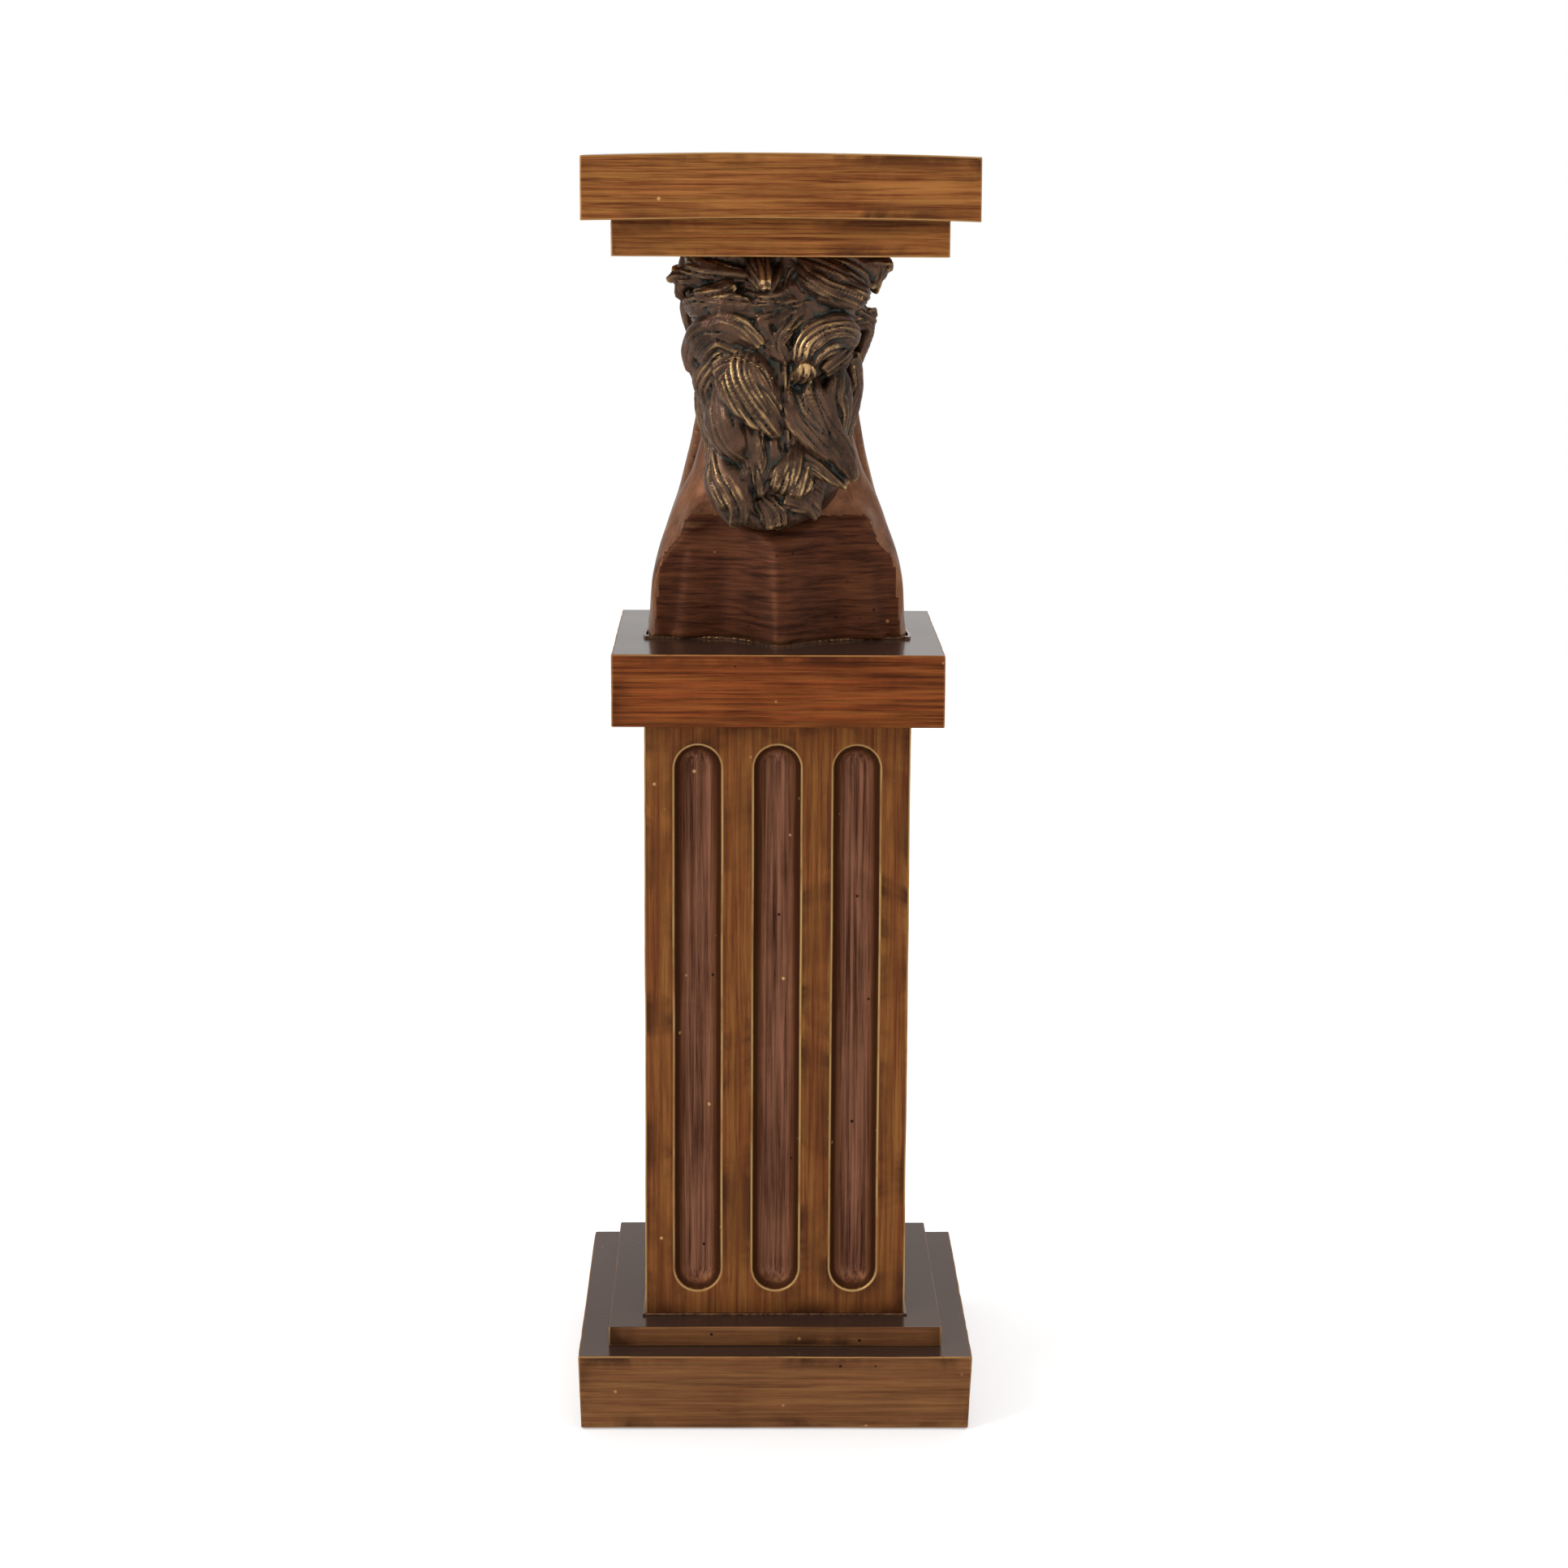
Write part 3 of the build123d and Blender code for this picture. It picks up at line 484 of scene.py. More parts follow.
for side, (facing, aside) in {"front": (1, 0), "back": (1, 0), "left": (0, 1), "right": (0, 1)}.items():
    panel = cad_copy("column_" + side, "cast_column_" + side)
    with opened(panel) as form:
        lip = []
        for edge in form.edges:
            on_face = all(abs(abs(v.co[facing]) - column_half) < merge_distance for v in edge.verts)
            near = all(abs(float(flute_distance(v.co[aside], v.co.z))) < 0.3 * mm for v in edge.verts)
            if on_face and near and edge.is_manifold and edge.calc_face_angle() > math.radians(25.0):
                lip.append(edge)
        bmesh.ops.bevel(form, geom=lip, offset=lip_width, segments=3, profile=0.5, affect="EDGES")
        print("lip edges", len(lip))
    cut_grid(panel, panel_grid)
    places = vertex_places(panel)
    face_depth = column_half - np.abs(places[:, facing])
    outline = flute_distance(places[:, aside], places[:, 2])
    to_flute = np.where(face_depth < flute_depth + 0.5 * mm, np.hypot(outline, face_depth), 1.0)
    to_corner = column_half - np.abs(places[:, aside])
    to_ends = np.minimum(places[:, 2] - column_low.z, column_high.z - places[:, 2])
    corner_edge = np.sort(np.column_stack([to_corner, face_depth, to_ends]), axis=1)[:, 1]
    edge = np.minimum(to_flute, corner_edge) / mm
    in_flute = (outline < -0.5 * mm) & (face_depth < flute_depth + 0.5 * mm)
    deep = unit((face_depth / flute_depth - 0.45) / 0.4)
    hollow = np.where(in_flute, 0.9 * deep, 0.0)
    # Painted shade: the flutes' side walls take a dark tone, strongest just inside the rim and fading where the flute
    # is deep
    painted_side_shade = np.where(in_flute, unit(face_depth / (0.15 * flute_depth)) * (1.0 - deep) * 0.85, 0.0)
    low, high = box_of("column_" + side)
    move_vertices(panel, np.clip(wave(places, edge + 3.0), low, high))
    set_numbers(panel, edge=edge, hollow=hollow, shade=painted_side_shade, crest=0.0)
    finish_piece(panel, column_bronze, ["column_" + side], 40.0)


# %% [markdown]
# ## Sculpted castings
# The bust was modelled by hand in wax, so its surfaces are soft and its crests are rounded. A voxel remesh turns
# the CAD body into an even skin of small squares, which smoothing and small moves then shape like wax. How far
# a vertex stands out from its smoothed neighbourhood says whether it is on a crest or in a hollow: crests are
# where the cloth rubbed the patina away, and hollows are where the dark wax stayed.

# %% Remesh and relief helpers


def smooth(piece, rounds, factor=0.5):
    """Moves every vertex towards the middle of its neighbours, a few times over."""
    select_only(piece)
    soften = piece.modifiers.new("soften", "SMOOTH")
    soften.iterations, soften.factor = rounds, factor
    bpy.ops.object.modifier_apply(modifier=soften.name)


def remesh(piece, voxel, rounds):
    """Turns a piece into an even skin of squares and smooths it a little."""
    select_only(piece)
    skin = piece.modifiers.new("skin", "REMESH")
    skin.mode, skin.voxel_size = "VOXEL", voxel
    bpy.ops.object.modifier_apply(modifier=skin.name)
    smooth(piece, rounds)


def edge_pairs(piece):
    """The two vertex numbers of every edge, as two arrays."""
    flat = np.empty(len(piece.data.edges) * 2, dtype=np.int64)
    piece.data.edges.foreach_get("vertices", flat)
    pairs = flat.reshape(-1, 2)
    return pairs[:, 0], pairs[:, 1]


def average_of_neighbours(values, pairs, rounds):
    """Values spread over the mesh: each round replaces a vertex by the mean of itself and its neighbours."""
    first, second = pairs
    count = len(values)
    links = np.bincount(first, minlength=count) + np.bincount(second, minlength=count) + 1.0
    spread = values.copy()
    for _ in range(rounds):
        total = spread.copy()
        for column in range(spread.shape[1]):
            total[:, column] += np.bincount(first, spread[second, column], count)
            total[:, column] += np.bincount(second, spread[first, column], count)
        spread = total / links[:, None]
    return spread


def vertex_normals(piece):
    """Vertex normals as an array with one row per vertex."""
    return np.array([normal.vector[:] for normal in piece.data.vertex_normals])


def relief(piece, rounds):
    """How far each vertex stands out of its neighbourhood, in metres, along its normal."""
    places = vertex_places(piece)
    smoothed = average_of_neighbours(places, edge_pairs(piece), rounds)
    return np.einsum("ij,ij->i", places - smoothed, vertex_normals(piece))


def push_out(piece, distances, node):
    """Moves each vertex along its normal by its own distance, and keeps it inside the CAD node's box."""
    low, high = box_of(node)
    move_vertices(piece, np.clip(vertex_places(piece) + vertex_normals(piece) * distances[:, None], low, high))


def store_relief(piece, fine_rounds, broad_rounds, crest_height, hollow_depth):
    """Stores the crest and hollow numbers, from 0 to 1, and an edge distance that is never near."""
    fine, broad = relief(piece, fine_rounds), relief(piece, broad_rounds)
    mixed = fine + 0.5 * broad
    crest = unit(mixed / crest_height - 0.35)
    hollow = unit(-(0.6 * fine + broad) / hollow_depth - 0.1)
    set_numbers(piece, crest=crest, hollow=hollow, edge=99.0)
    print(piece.name, "crests", round(float((crest > 0.5).mean()), 3), "hollows",
          round(float((hollow > 0.5).mean()), 3))


# %% [markdown]
# ## Neck and chest
# The neck widens into the chest and is sawn off flat behind, with a middle ridge. Long grooves run up both sides
# of the neck between the muscle and the mane. They are pressed in along their lines with a rounded profile.

# %% Bronze of the bust
neck_bronze = patina("red_brown_bust_bronze", "8D5E43", "553322", "996B4A", "B88D63", ("24130D", "392219"),
                     (70.0, 70.0, 18.0), stroke_contrast=0.45, gloss=0.36)
# The sawn face's bronze has real level strokes and a dark tone that is painted shade
sawn_face_shaded_bronze = patina("sawn_face_bronze_painted_shade", "5D3320", "31180E", "6D4128", "9E6D46", ("200F09", "2F1910"),
                    (22.0, 22.0, 330.0), gloss=0.46)
print("bust bronzes", neck_bronze.name, sawn_face_shaded_bronze.name)

# %% [markdown]
# The flanks of the cut are square-cornered, so the rounded corners of the level sections are drawn out to a
# square with a small radius. The casting's outer skin is found for each direction and height, and its inner skin
# follows in proportion, so that the wall keeps its thickness.

# %% Square corners of the neck
neck_voxel = 2.3 * mm
neck = cad_copy("neck", "sculpted_neck")
remesh(neck, neck_voxel, 3)
places = vertex_places(neck)
corner_aside, corner_front, cut_flank = 45.0 * mm, 10.0 * mm, 40.0 * mm
cut_top, cut_fade = 721.0 * mm, 24.0 * mm
levels = np.array([620.0, 633.0, 688.0, 719.0, 766.0]) * mm
half_widths = np.array([105.0, 104.0, 98.0, 88.0, 75.0]) * mm
silhouette = np.interp(places[:, 2], levels, half_widths)
square = unit((cut_top + cut_fade - places[:, 2]) / cut_fade)
square = square * square * (3.0 - 2.0 * square)
side = np.clip((np.abs(places[:, 0]) - corner_aside) / (silhouette - corner_aside), 0.0, None)
behind = np.clip((corner_front - places[:, 1]) / (corner_front + cut_flank), 0.0, None)
reach = np.hypot(side, behind) + 1e-9
corner = (side > 0) & (behind > 0)

directions, layers, squareness = 24, 40, 9.0
turned = np.arctan2(behind, side) / (0.5 * math.pi) * (directions - 1)
height = unit((places[:, 2] - levels[0]) / (cut_top + cut_fade - levels[0])) * (layers - 1)
outer = np.full((layers, directions), 0.5)
np.maximum.at(outer, (np.round(height[corner]).astype(int), np.round(turned[corner]).astype(int)), reach[corner])
for _ in range(3):
    padded = np.pad(outer, 1, mode="edge")
    outer = (padded[:-2, 1:-1] + padded[2:, 1:-1] + padded[1:-1, :-2] + padded[1:-1, 2:] + 2 * outer) / 6.0
angles = np.linspace(0.0, 0.5 * math.pi, directions)
to_side, to_rear = outer[:, :1], outer[:, -1:]
squared = ((np.cos(angles) / to_side) ** squareness + (np.sin(angles) / to_rear) ** squareness) ** (-1 / squareness)
gain = np.maximum(squared / outer, 1.0)
row, column = np.floor(height).astype(int), np.floor(turned).astype(int)
next_row, next_column = np.minimum(row + 1, layers - 1), np.minimum(column + 1, directions - 1)
row_part, column_part = height - row, turned - column
below = gain[row, column] * (1 - column_part) + gain[row, next_column] * column_part
above = gain[next_row, column] * (1 - column_part) + gain[next_row, next_column] * column_part
drawn = 1.0 + (below * (1 - row_part) + above * row_part - 1.0) * square
new_aside = side * drawn * (silhouette - corner_aside) + corner_aside
places[corner, 0] = (np.sign(places[:, 0]) * new_aside)[corner]
places[corner, 1] = (corner_front - behind * drawn * (corner_front + cut_flank))[corner]
move_vertices(neck, places)
remesh(neck, neck_voxel, 2)
print("drawn out by up to", round(float(gain.max()), 2))

# %% [markdown]
# The grooves fade out at both ends. The rear face was sawn and brushed with level strokes. The faces that look back
# below the mane get the second bronze, with those strokes and a dark tone that is painted shade.

# %% Grooves and sawn face
places = vertex_places(neck)
groove_foot, groove_top = 742.0 * mm, 872.0 * mm
groove_foot_aside, groove_top_aside = 78.0 * mm, 50.0 * mm
groove_width, groove_depth = 7.0 * mm, 3.2 * mm
rise = (places[:, 2] - groove_foot) / (groove_top - groove_foot)
groove_aside = groove_foot_aside + (groove_top_aside - groove_foot_aside) * rise
across = (np.abs(places[:, 0]) - groove_aside) / groove_width
ends = unit(rise * 6.0) * unit((1.0 - rise) * 6.0)
pressed = np.exp(-across ** 2) * ends * groove_depth * (places[:, 1] < 0.03)
push_out(neck, noise_at(places, 38.0) * 0.7 * mm - pressed, "neck")
store_relief(neck, 4, 22, 3.4 * mm, 3.2 * mm)
finish_piece(neck, neck_bronze, ["neck"], 60.0)
# The second bronze puts painted shade on the faces that look back below the mane
neck.data.materials.append(sawn_face_shaded_bronze)
steeper_above, sawn_top, sawn_front = 700.0 * mm, 730.0 * mm, 4.0 * mm - cut_flank
for face in neck.data.polygons:
    x, y, z = face.center
    facing_back = face.normal.y < (-0.25 if z < steeper_above else -0.6)
    half_width = 0.9 * float(np.interp(z, levels, half_widths)) + 6.0 * mm
    if facing_back and z < sawn_top and y < sawn_front and abs(x) < half_width:
        face.material_index = 1
print("sawn faces", sum(face.material_index for face in neck.data.polygons))

# %% [markdown]
# ## Horse's head
# The head leans on the chest under the top, so only its sides and brow are seen from most places. The CAD body
# gives its long wedge. Eyes, cheeks, nostrils and mouth are pressed in and raised around named places on it, in
# the head's own directions: along its axis from poll to muzzle, aside, and out from its front.

# %% Head
head = cad_copy("head", "sculpted_head")
remesh(head, 2.0 * mm, 3)
bust_foot_mm, bust_height_mm = 630.0, 307.5
bust_foot, bust_height = bust_foot_mm * mm, bust_height_mm * mm
poll = np.array([0.0, 30.0 * mm, bust_foot + 0.895 * bust_height])
muzzle = np.array([0.0, 118.0 * mm, bust_foot + 0.195 * bust_height])
head_axis = (muzzle - poll) / np.linalg.norm(muzzle - poll)
head_out = np.cross(np.array([1.0, 0.0, 0.0]), head_axis)
head_out *= np.sign(head_out[1])
head_features = [
    # along, aside, out from the axis, radius, height (mm); a height below zero presses in
    (62.0, 44.0, 14.0, 17.0, 3.5), (68.0, 48.0, 12.0, 8.5, -4.0), (68.0, 46.0, 12.0, 5.0, 6.5),
    (54.0, 38.0, 26.0, 13.0, 4.0), (95.0, 40.0, -22.0, 32.0, 5.0), (128.0, 30.0, 8.0, 20.0, -3.0),
    (150.0, 24.0, 16.0, 12.0, 2.0), (196.0, 22.0, 16.0, 11.0, 3.5), (200.0, 22.0, 18.0, 6.0, -6.0),
    (212.0, 20.0, -4.0, 7.0, -3.0), (200.0, 26.0, -6.0, 6.0, -3.0), (188.0, 28.0, -8.0, 6.0, -2.6),
    (222.0, 8.0, -2.0, 9.0, -2.5), (206.0, 12.0, -20.0, 13.0, 3.0), (110.0, 8.0, 30.0, 12.0, 1.8),
]
places = vertex_places(head)
offset = places - poll
along, out = offset @ head_axis, offset @ head_out
moved = np.zeros(len(places))
for at, aside, forward, radius, height in head_features:
    gap = np.sqrt((along - at * mm) ** 2 + (np.abs(places[:, 0]) - aside * mm) ** 2 + (out - forward * mm) ** 2)
    moved += np.exp(-(gap / (radius * mm)) ** 2) * height * mm
push_out(head, moved + noise_at(places, 50.0) * 0.5 * mm, "head")
store_relief(head, 4, 18, 0.9 * mm, 1.8 * mm)
finish_piece(head, neck_bronze, ["head"], 60.0)

# %% [markdown]
# Each ear is a leaf of wax with a shell pressed into its front. A bell-shaped dent in the middle makes the shell.

# %% Ears
for side in ("left", "right"):
    ear = cad_copy("ear_" + side, "sculpted_ear_" + side)
    remesh(ear, 1.4 * mm, 3)
    low, high = box_of("ear_" + side)
    from_middle = ((vertex_places(ear) - 0.5 * (np.array(low) + np.array(high))) ** 2).sum(axis=1)
    shell = np.exp(-from_middle / (11.0 * mm) ** 2) * (vertex_normals(ear)[:, 1] > 0.3)
    push_out(ear, -shell * 4.0 * mm, "ear_" + side)
    store_relief(ear, 3, 12, 0.7 * mm, 1.4 * mm)
    finish_piece(ear, neck_bronze, ["ear_" + side], 60.0)


# %% [markdown]
# ## Mane
# The mane is a heap of heavy locks that fall and curl over the back of the neck. Each lock was pulled in wax as
# a thick ribbon with a raised rim, then combed with a tool. Here each lock is a ribbon swept along a line of
# stations read from the photograph, each with its place, its level on the bust and its width. Ribbons and
# CAD bodies are fused by a voxel remesh, then grooves are combed along the nearest lock's line.

# %% Stations of the locks
# Each station: x and y in millimetres, level as a share of the bust's height, width in millimetres.
# The number before the stations turns the ribbon about its own line, in degrees, so that one rim stands out.
locks = [
    (-18, [(-22, -66, .765, 26), (-28, -78, .72, 39), (-25, -83, .672, 39), (-15, -86, .618, 31),
           (-6, -86, .578, 20), (1, -82, .545, 6)]),
    (14, [(-36, -56, .72, 18), (-42, -66, .677, 28), (-46, -67, .617, 28), (-43, -71, .563, 30),
          (-37, -73, .513, 22), (-28, -71, .473, 6)]),
    (-12, [(-50, -50, .53, 10), (-49, -57, .494, 14), (-45, -62, .444, 23), (-37, -65, .394, 28),
           (-32, -65, .348, 22), (-35, -64, .297, 5)]),
    (16, [(-51, -54, .493, 9), (-56, -55, .432, 9), (-49, -58, .376, 9), (-40, -61, .332, 6)]),
    (8, [(-21, -66, .628, 19), (-21, -69, .553, 19), (-18, -70, .477, 20), (-15, -70, .406, 12), (-14, -68, .38, 5)]),
    (-8, [(-3, -66, .528, 19), (-3, -68, .476, 19), (-7, -69, .426, 14), (-9, -68, .395, 6)]),
    (0, [(16, -66, .508, 12), (14, -70, .468, 22), (11, -73, .433, 31), (9, -74, .408, 30), (7, -70, .392, 16)]),
    (-14, [(6, -66, .69, 10), (10, -76, .636, 17), (14, -80, .591, 20), (24, -80, .551, 19), (35, -76, .51, 14),
           (44, -71, .477, 5)]),
    (12, [(24, -68, .69, 10), (28, -76, .641, 17), (36, -76, .581, 19), (46, -72, .524, 19), (54, -66, .472, 17),
          (61, -60, .425, 8)]),
    (-10, [(18, -66, .502, 12), (30, -67, .472, 17), (43, -63, .435, 14), (54, -58, .405, 6)]),
    (14, [(44, -56, .73, 6), (47, -64, .684, 11), (45, -68, .639, 19), (48, -64, .592, 17), (47, -60, .546, 11),
          (47, -58, .511, 3)]),
    (0, [(-15, -84, .772, 9), (-28, -89, .817, 12), (-45, -86, .834, 12), (-62, -71, .809, 12),
         (-72, -56, .756, 12), (-71, -49, .699, 7)]),
    (0, [(-25, -84, .782, 8), (-37, -88, .807, 9), (-51, -83, .811, 9), (-62, -70, .779, 9), (-67, -57, .726, 7)]),
    (0, [(-37, -84, .772, 9), (-48, -85, .784, 11), (-57, -76, .76, 9), (-62, -64, .727, 7)]),
    (10, [(-68, -52, .72, 12), (-61, -55, .675, 16), (-57, -52, .63, 7)]),
    (-10, [(-32, -76, .755, 9), (-47, -73, .725, 16), (-57, -63, .667, 14), (-55, -58, .62, 6)]),
    (0, [(60, -44, .795, 9), (47, -64, .819, 12), (31, -78, .811, 12), (20, -83, .782, 12), (16, -80, .735, 8)]),
    (0, [(56, -50, .778, 9), (40, -70, .78, 11), (29, -77, .756, 9), (24, -76, .726, 5)]),
    (8, [(56, -46, .752, 12), (47, -60, .728, 16), (36, -68, .70, 9)]),
    (0, [(14, -68, .675, 12), (19, -82, .695, 16), (21, -90, .715, 13), (21, -92, .728, 6)]),
    (0, [(13, -66, .969, 9), (24, -82, .946, 14), (37, -86, .922, 14), (52, -76, .901, 9)]),
    (0, [(17, -66, .99, 8), (30, -79, .978, 12), (46, -79, .953, 14), (62, -64, .919, 14), (71, -47, .90, 7)]),
    (0, [(32, -64, .997, 9), (49, -67, .986, 12), (64, -56, .96, 14), (71, -43, .925, 7)]),
    (0, [(58, -48, .99, 12), (77, -36, .986, 13), (90, -28, .983, 6)]),
    (0, [(69, -40, .987, 9), (75, -38, .956, 9), (72, -38, .912, 5)]),
    (0, [(80, -32, .985, 9), (84, -31, .951, 8), (78, -33, .922, 4)]),
    (0, [(-20, -76, .862, 12), (-40, -83, .871, 20), (-59, -68, .878, 22), (-73, -46, .868, 12)]),
    (0, [(-58, -66, .896, 9), (-45, -81, .908, 9), (-34, -86, .924, 5)]),
    (0, [(-26, -76, .948, 9), (-43, -74, .954, 12), (-59, -60, .962, 14), (-72, -46, .972, 9)]),
    (0, [(-27, -66, .985, 8), (-20, -82, .95, 9), (-15, -89, .92, 6)]),
    (0, [(-13, -68, .99, 8), (-12, -84, .955, 9), (-11, -90, .914, 7)]),
    (0, [(1, -66, .988, 8), (-3, -80, .95, 8), (-8, -87, .912, 5)]),
    (0, [(-64, -44, .942, 9), (-79, -39, .944, 12), (-89, -34, .93, 5)]),
    (0, [(-79, -38, .94, 11), (-79, -37, .904, 9), (-74, -37, .868, 5)]),
    (0, [(60, -36, .83, 9), (71, -27, .844, 9), (79, -20, .85, 6)]),
    (0, [(11, -73, .87, 9), (-3, -79, .851, 9), (-14, -82, .831, 9), (-8, -82, .785, 6)]),
    (0, [(5, -62, .385, 19), (23, -60, .368, 19), (33, -55, .325, 8)]),
    (0, [(-15, -60, .375, 12), (-5, -61, .342, 19), (-2, -61, .30, 14)]),
    (0, [(5, -72, .73, 12), (5, -72, .63, 14), (7, -67, .528, 10)]),
    (0, [(32, -66, .90, 9), (18, -77, .885, 12), (4, -79, .872, 10), (-10, -77, .88, 5)]),
    (0, [(12, -66, .965, 8), (8, -76, .925, 12), (13, -78, .895, 10), (22, -76, .865, 5)]),
    (0, [(-6, -74, .80, 12), (2, -78, .765, 14), (8, -76, .73, 8)]),
    (10, [(18, -70, .845, 8), (8, -79, .815, 12), (-1, -81, .775, 10), (1, -79, .735, 5)]),
    (0, [(-24, -72, .90, 8), (-12, -80, .893, 11), (0, -80, .90, 9), (8, -76, .915, 5)]),
]
bright_locks = [0, 2, 6, 11, 12, 16, 17, 19, 27, 30]
side_locks = [
    # On the flanks, out of the photograph's view: the same fall, turned round the neck
    (0, [(62, -40, .86, 14), (72, -22, .82, 16), (66, -14, .74, 14), (60, -16, .68, 6)]),
    (0, [(-66, -34, .90, 14), (-74, -20, .86, 16), (-68, -12, .78, 14), (-62, -14, .70, 6)]),
    (0, [(60, -40, .74, 14), (62, -34, .66, 18), (58, -36, .58, 14), (56, -40, .51, 5)]),
    (0, [(-60, -40, .68, 14), (-60, -34, .60, 18), (-56, -36, .53, 14), (-54, -40, .47, 5)]),
    (0, [(70, -30, .99, 12), (80, -16, .95, 14), (78, -8, .90, 9)]),
    (0, [(-64, -30, .99, 12), (-76, -18, .97, 14), (-80, -8, .92, 9)]),
]
print("locks", len(locks) + len(side_locks))

# %% [markdown]
# A smooth curve runs through the stations of a lock, and a closed ribbon is swept along it. Away from the axis of
# the neck is outward, so the ribbon lies on the neck all the way round.

# %% Sweeping one lock
mane_axis_y, step_length = -12.0, 1.6
ribbon_sides, lock_breadth = 18, 1.22


def lock_line(stations):
    """Points, widths and directions along a lock: a smooth curve through its stations, in millimetres."""
    points = np.array([(x, y, bust_foot_mm + bust_height_mm * share, width) for x, y, share, width in stations])
    ends = np.vstack([2 * points[0] - points[1], points, 2 * points[-1] - points[-2]])
    rows = []
    for index in range(1, len(ends) - 2):
        before, here, ahead, after = ends[index - 1:index + 3]
        steps = max(int(np.linalg.norm(ahead[:3] - here[:3]) / step_length), 3)
        for step in range(steps):
            t = step / steps
            rows.append(0.5 * (2 * here + (ahead - before) * t + (2 * before - 5 * here + 4 * ahead - after) * t ** 2
                               + (3 * here - before - 3 * ahead + after) * t ** 3))
    rows.append(points[-1])
    rows = np.array(rows)
    forward = np.gradient(rows[:, :3], axis=0)
    forward /= np.linalg.norm(forward, axis=1)[:, None]
    outward = np.column_stack([rows[:, 0], rows[:, 1] - mane_axis_y, np.zeros(len(rows))])
    outward -= np.einsum("ij,ij->i", outward, forward)[:, None] * forward
    outward /= np.linalg.norm(outward, axis=1)[:, None]
    return rows[:, :3], np.maximum(rows[:, 3], 2.0), forward, outward


def ribbon(roll, stations):
    """Points and widths along a lock, and the directions across and out of its ribbon, turned by roll degrees."""
    middle, width, forward, outward = lock_line(stations)
    angle = math.radians(roll)
    out = outward * math.cos(angle) + np.cross(forward, outward) * math.sin(angle)
    return middle, width, np.cross(forward, out), out


def add_lock(form, roll, stations):
    """Adds one lock to the mesh as a closed ribbon: flat beneath, domed above, one rim raised."""
    middle, width, across, out = ribbon(roll, stations)
    rings = []
    for row in range(len(middle)):
        ring = []
        half = lock_breadth * 0.5 * width[row]
        for side in range(ribbon_sides):
            angle = 2.0 * math.pi * side / ribbon_sides
            lift, rim = (0.50, 0.16 * half * math.cos(angle) ** 3) if math.sin(angle) > 0 else (0.85, 0.0)
            place = (middle[row] + across[row] * half * math.cos(angle)
                     + out[row] * (half * lift * math.sin(angle) + rim))
            ring.append(form.verts.new(place * mm))
        rings.append(ring)
    for one, other in zip(rings, rings[1:]):
        for side in range(ribbon_sides):
            after = (side + 1) % ribbon_sides
            form.faces.new([one[side], one[after], other[after], other[side]])
    form.faces.new(rings[0][::-1])
    form.faces.new(rings[-1])


# %% [markdown]
# On the real mane the locks grow out of one mass. The five CAD bodies are that mass: they and all the ribbons go
# into one mesh, and the voxel remesh fuses them.

# %% Fuse the locks with the mane's body
mane = new_piece("mane_heap")
with opened(mane) as form:
    for node in ("mane_crest", "mane_left_curl", "mane_right_curl", "mane_left_fall", "mane_right_fall"):
        form.from_mesh(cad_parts[node].data)
    bmesh.ops.remove_doubles(form, verts=form.verts, dist=merge_distance)
    for roll, stations in locks + side_locks:
        add_lock(form, roll, stations)
    bmesh.ops.recalc_face_normals(form, faces=form.faces)
mane_voxel = 1.15 * mm
remesh(mane, mane_voxel, 7)
print("mane heap", len(mane.data.vertices), "vertices")

# %% [markdown]
# The comb marks follow each lock. For every vertex the nearest lock's line is found with a search tree. How far
# across and along the ribbon the vertex lies gives its place in a noise that is stretched along the lock.

# %% Find the nearest lock
from mathutils.kdtree import KDTree

line_rows = []
for number, (roll, stations) in enumerate(locks + side_locks):
    middle, width, across, out = ribbon(roll, stations)
    along = np.concatenate([[0.0], np.cumsum(np.linalg.norm(np.diff(middle, axis=0), axis=1))])
    line_rows.append(np.column_stack([middle + out * 0.25 * width[:, None], across, out, along, width,
                                      np.full(len(width), number)]))
line_rows = np.vstack(line_rows)
tree = KDTree(len(line_rows))
for index, row in enumerate(line_rows):
    tree.insert(Vector(row[:3] * mm), index)
tree.balance()
places, normals = vertex_places(mane), vertex_normals(mane)
nearest = np.array([tree.find(Vector(place))[1] for place in places])
row = line_rows[nearest]
along, width, lock_number = row[:, 9], row[:, 10], row[:, 11]
gap = places / mm - row[:, :3]
aside = np.einsum("ij,ij->i", gap, row[:, 3:6])
above = np.einsum("ij,ij->i", gap, row[:, 6:9])
round_the_ribbon = np.sign(aside) * np.hypot(aside, np.minimum(above, 0.0))
near = unit(1.6 - np.hypot(aside, above) / (0.75 * width + 3.0))
rear = unit((24.0 - places[:, 1] / mm) / 20.0)
form_height = relief(mane, 16)
print("vertices near a lock", round(float((near > 0.5).mean()), 2))

# %% [markdown]
# Three noises, coarse to fine, make the strands: the coarse one swells them, and narrow creases run where a noise
# passes through zero.

# %% Comb the strands


def strands(across_rate, along_rate, seed):
    """One smooth noise per vertex, stretched along its lock."""
    return np.array([noise.noise(Vector((a * across_rate, s * along_rate, number * 3.7 + seed)))
                     for a, s, number in zip(round_the_ribbon, along, lock_number)])


broad, fine, hair = strands(0.17, 0.016, 0.0), strands(0.36, 0.022, 50.0), strands(0.8, 0.03, 90.0)
swell = np.abs(broad) * 2.4 - 0.5
crease = unit(1.0 - np.abs(fine) / 0.13) ** 1.5
deep_crease = unit(1.0 - np.abs(broad) / 0.09) ** 1.3
weight = near * rear * np.clip(width / 10.0, 0.4, 1.1)
raised = (swell * 1.1 - deep_crease * 1.5 - crease * 0.75 + hair * 0.35) * weight * mm
lumps = noise_at(places, 95.0) * 0.8 * mm
move_vertices(mane, places + normals * (raised + lumps * rear)[:, None])
smooth(mane, 1, 0.35)

# %% [markdown]
# The cloth rubbed the patina off the raised strands, and more so on the locks that stand out in the photograph.

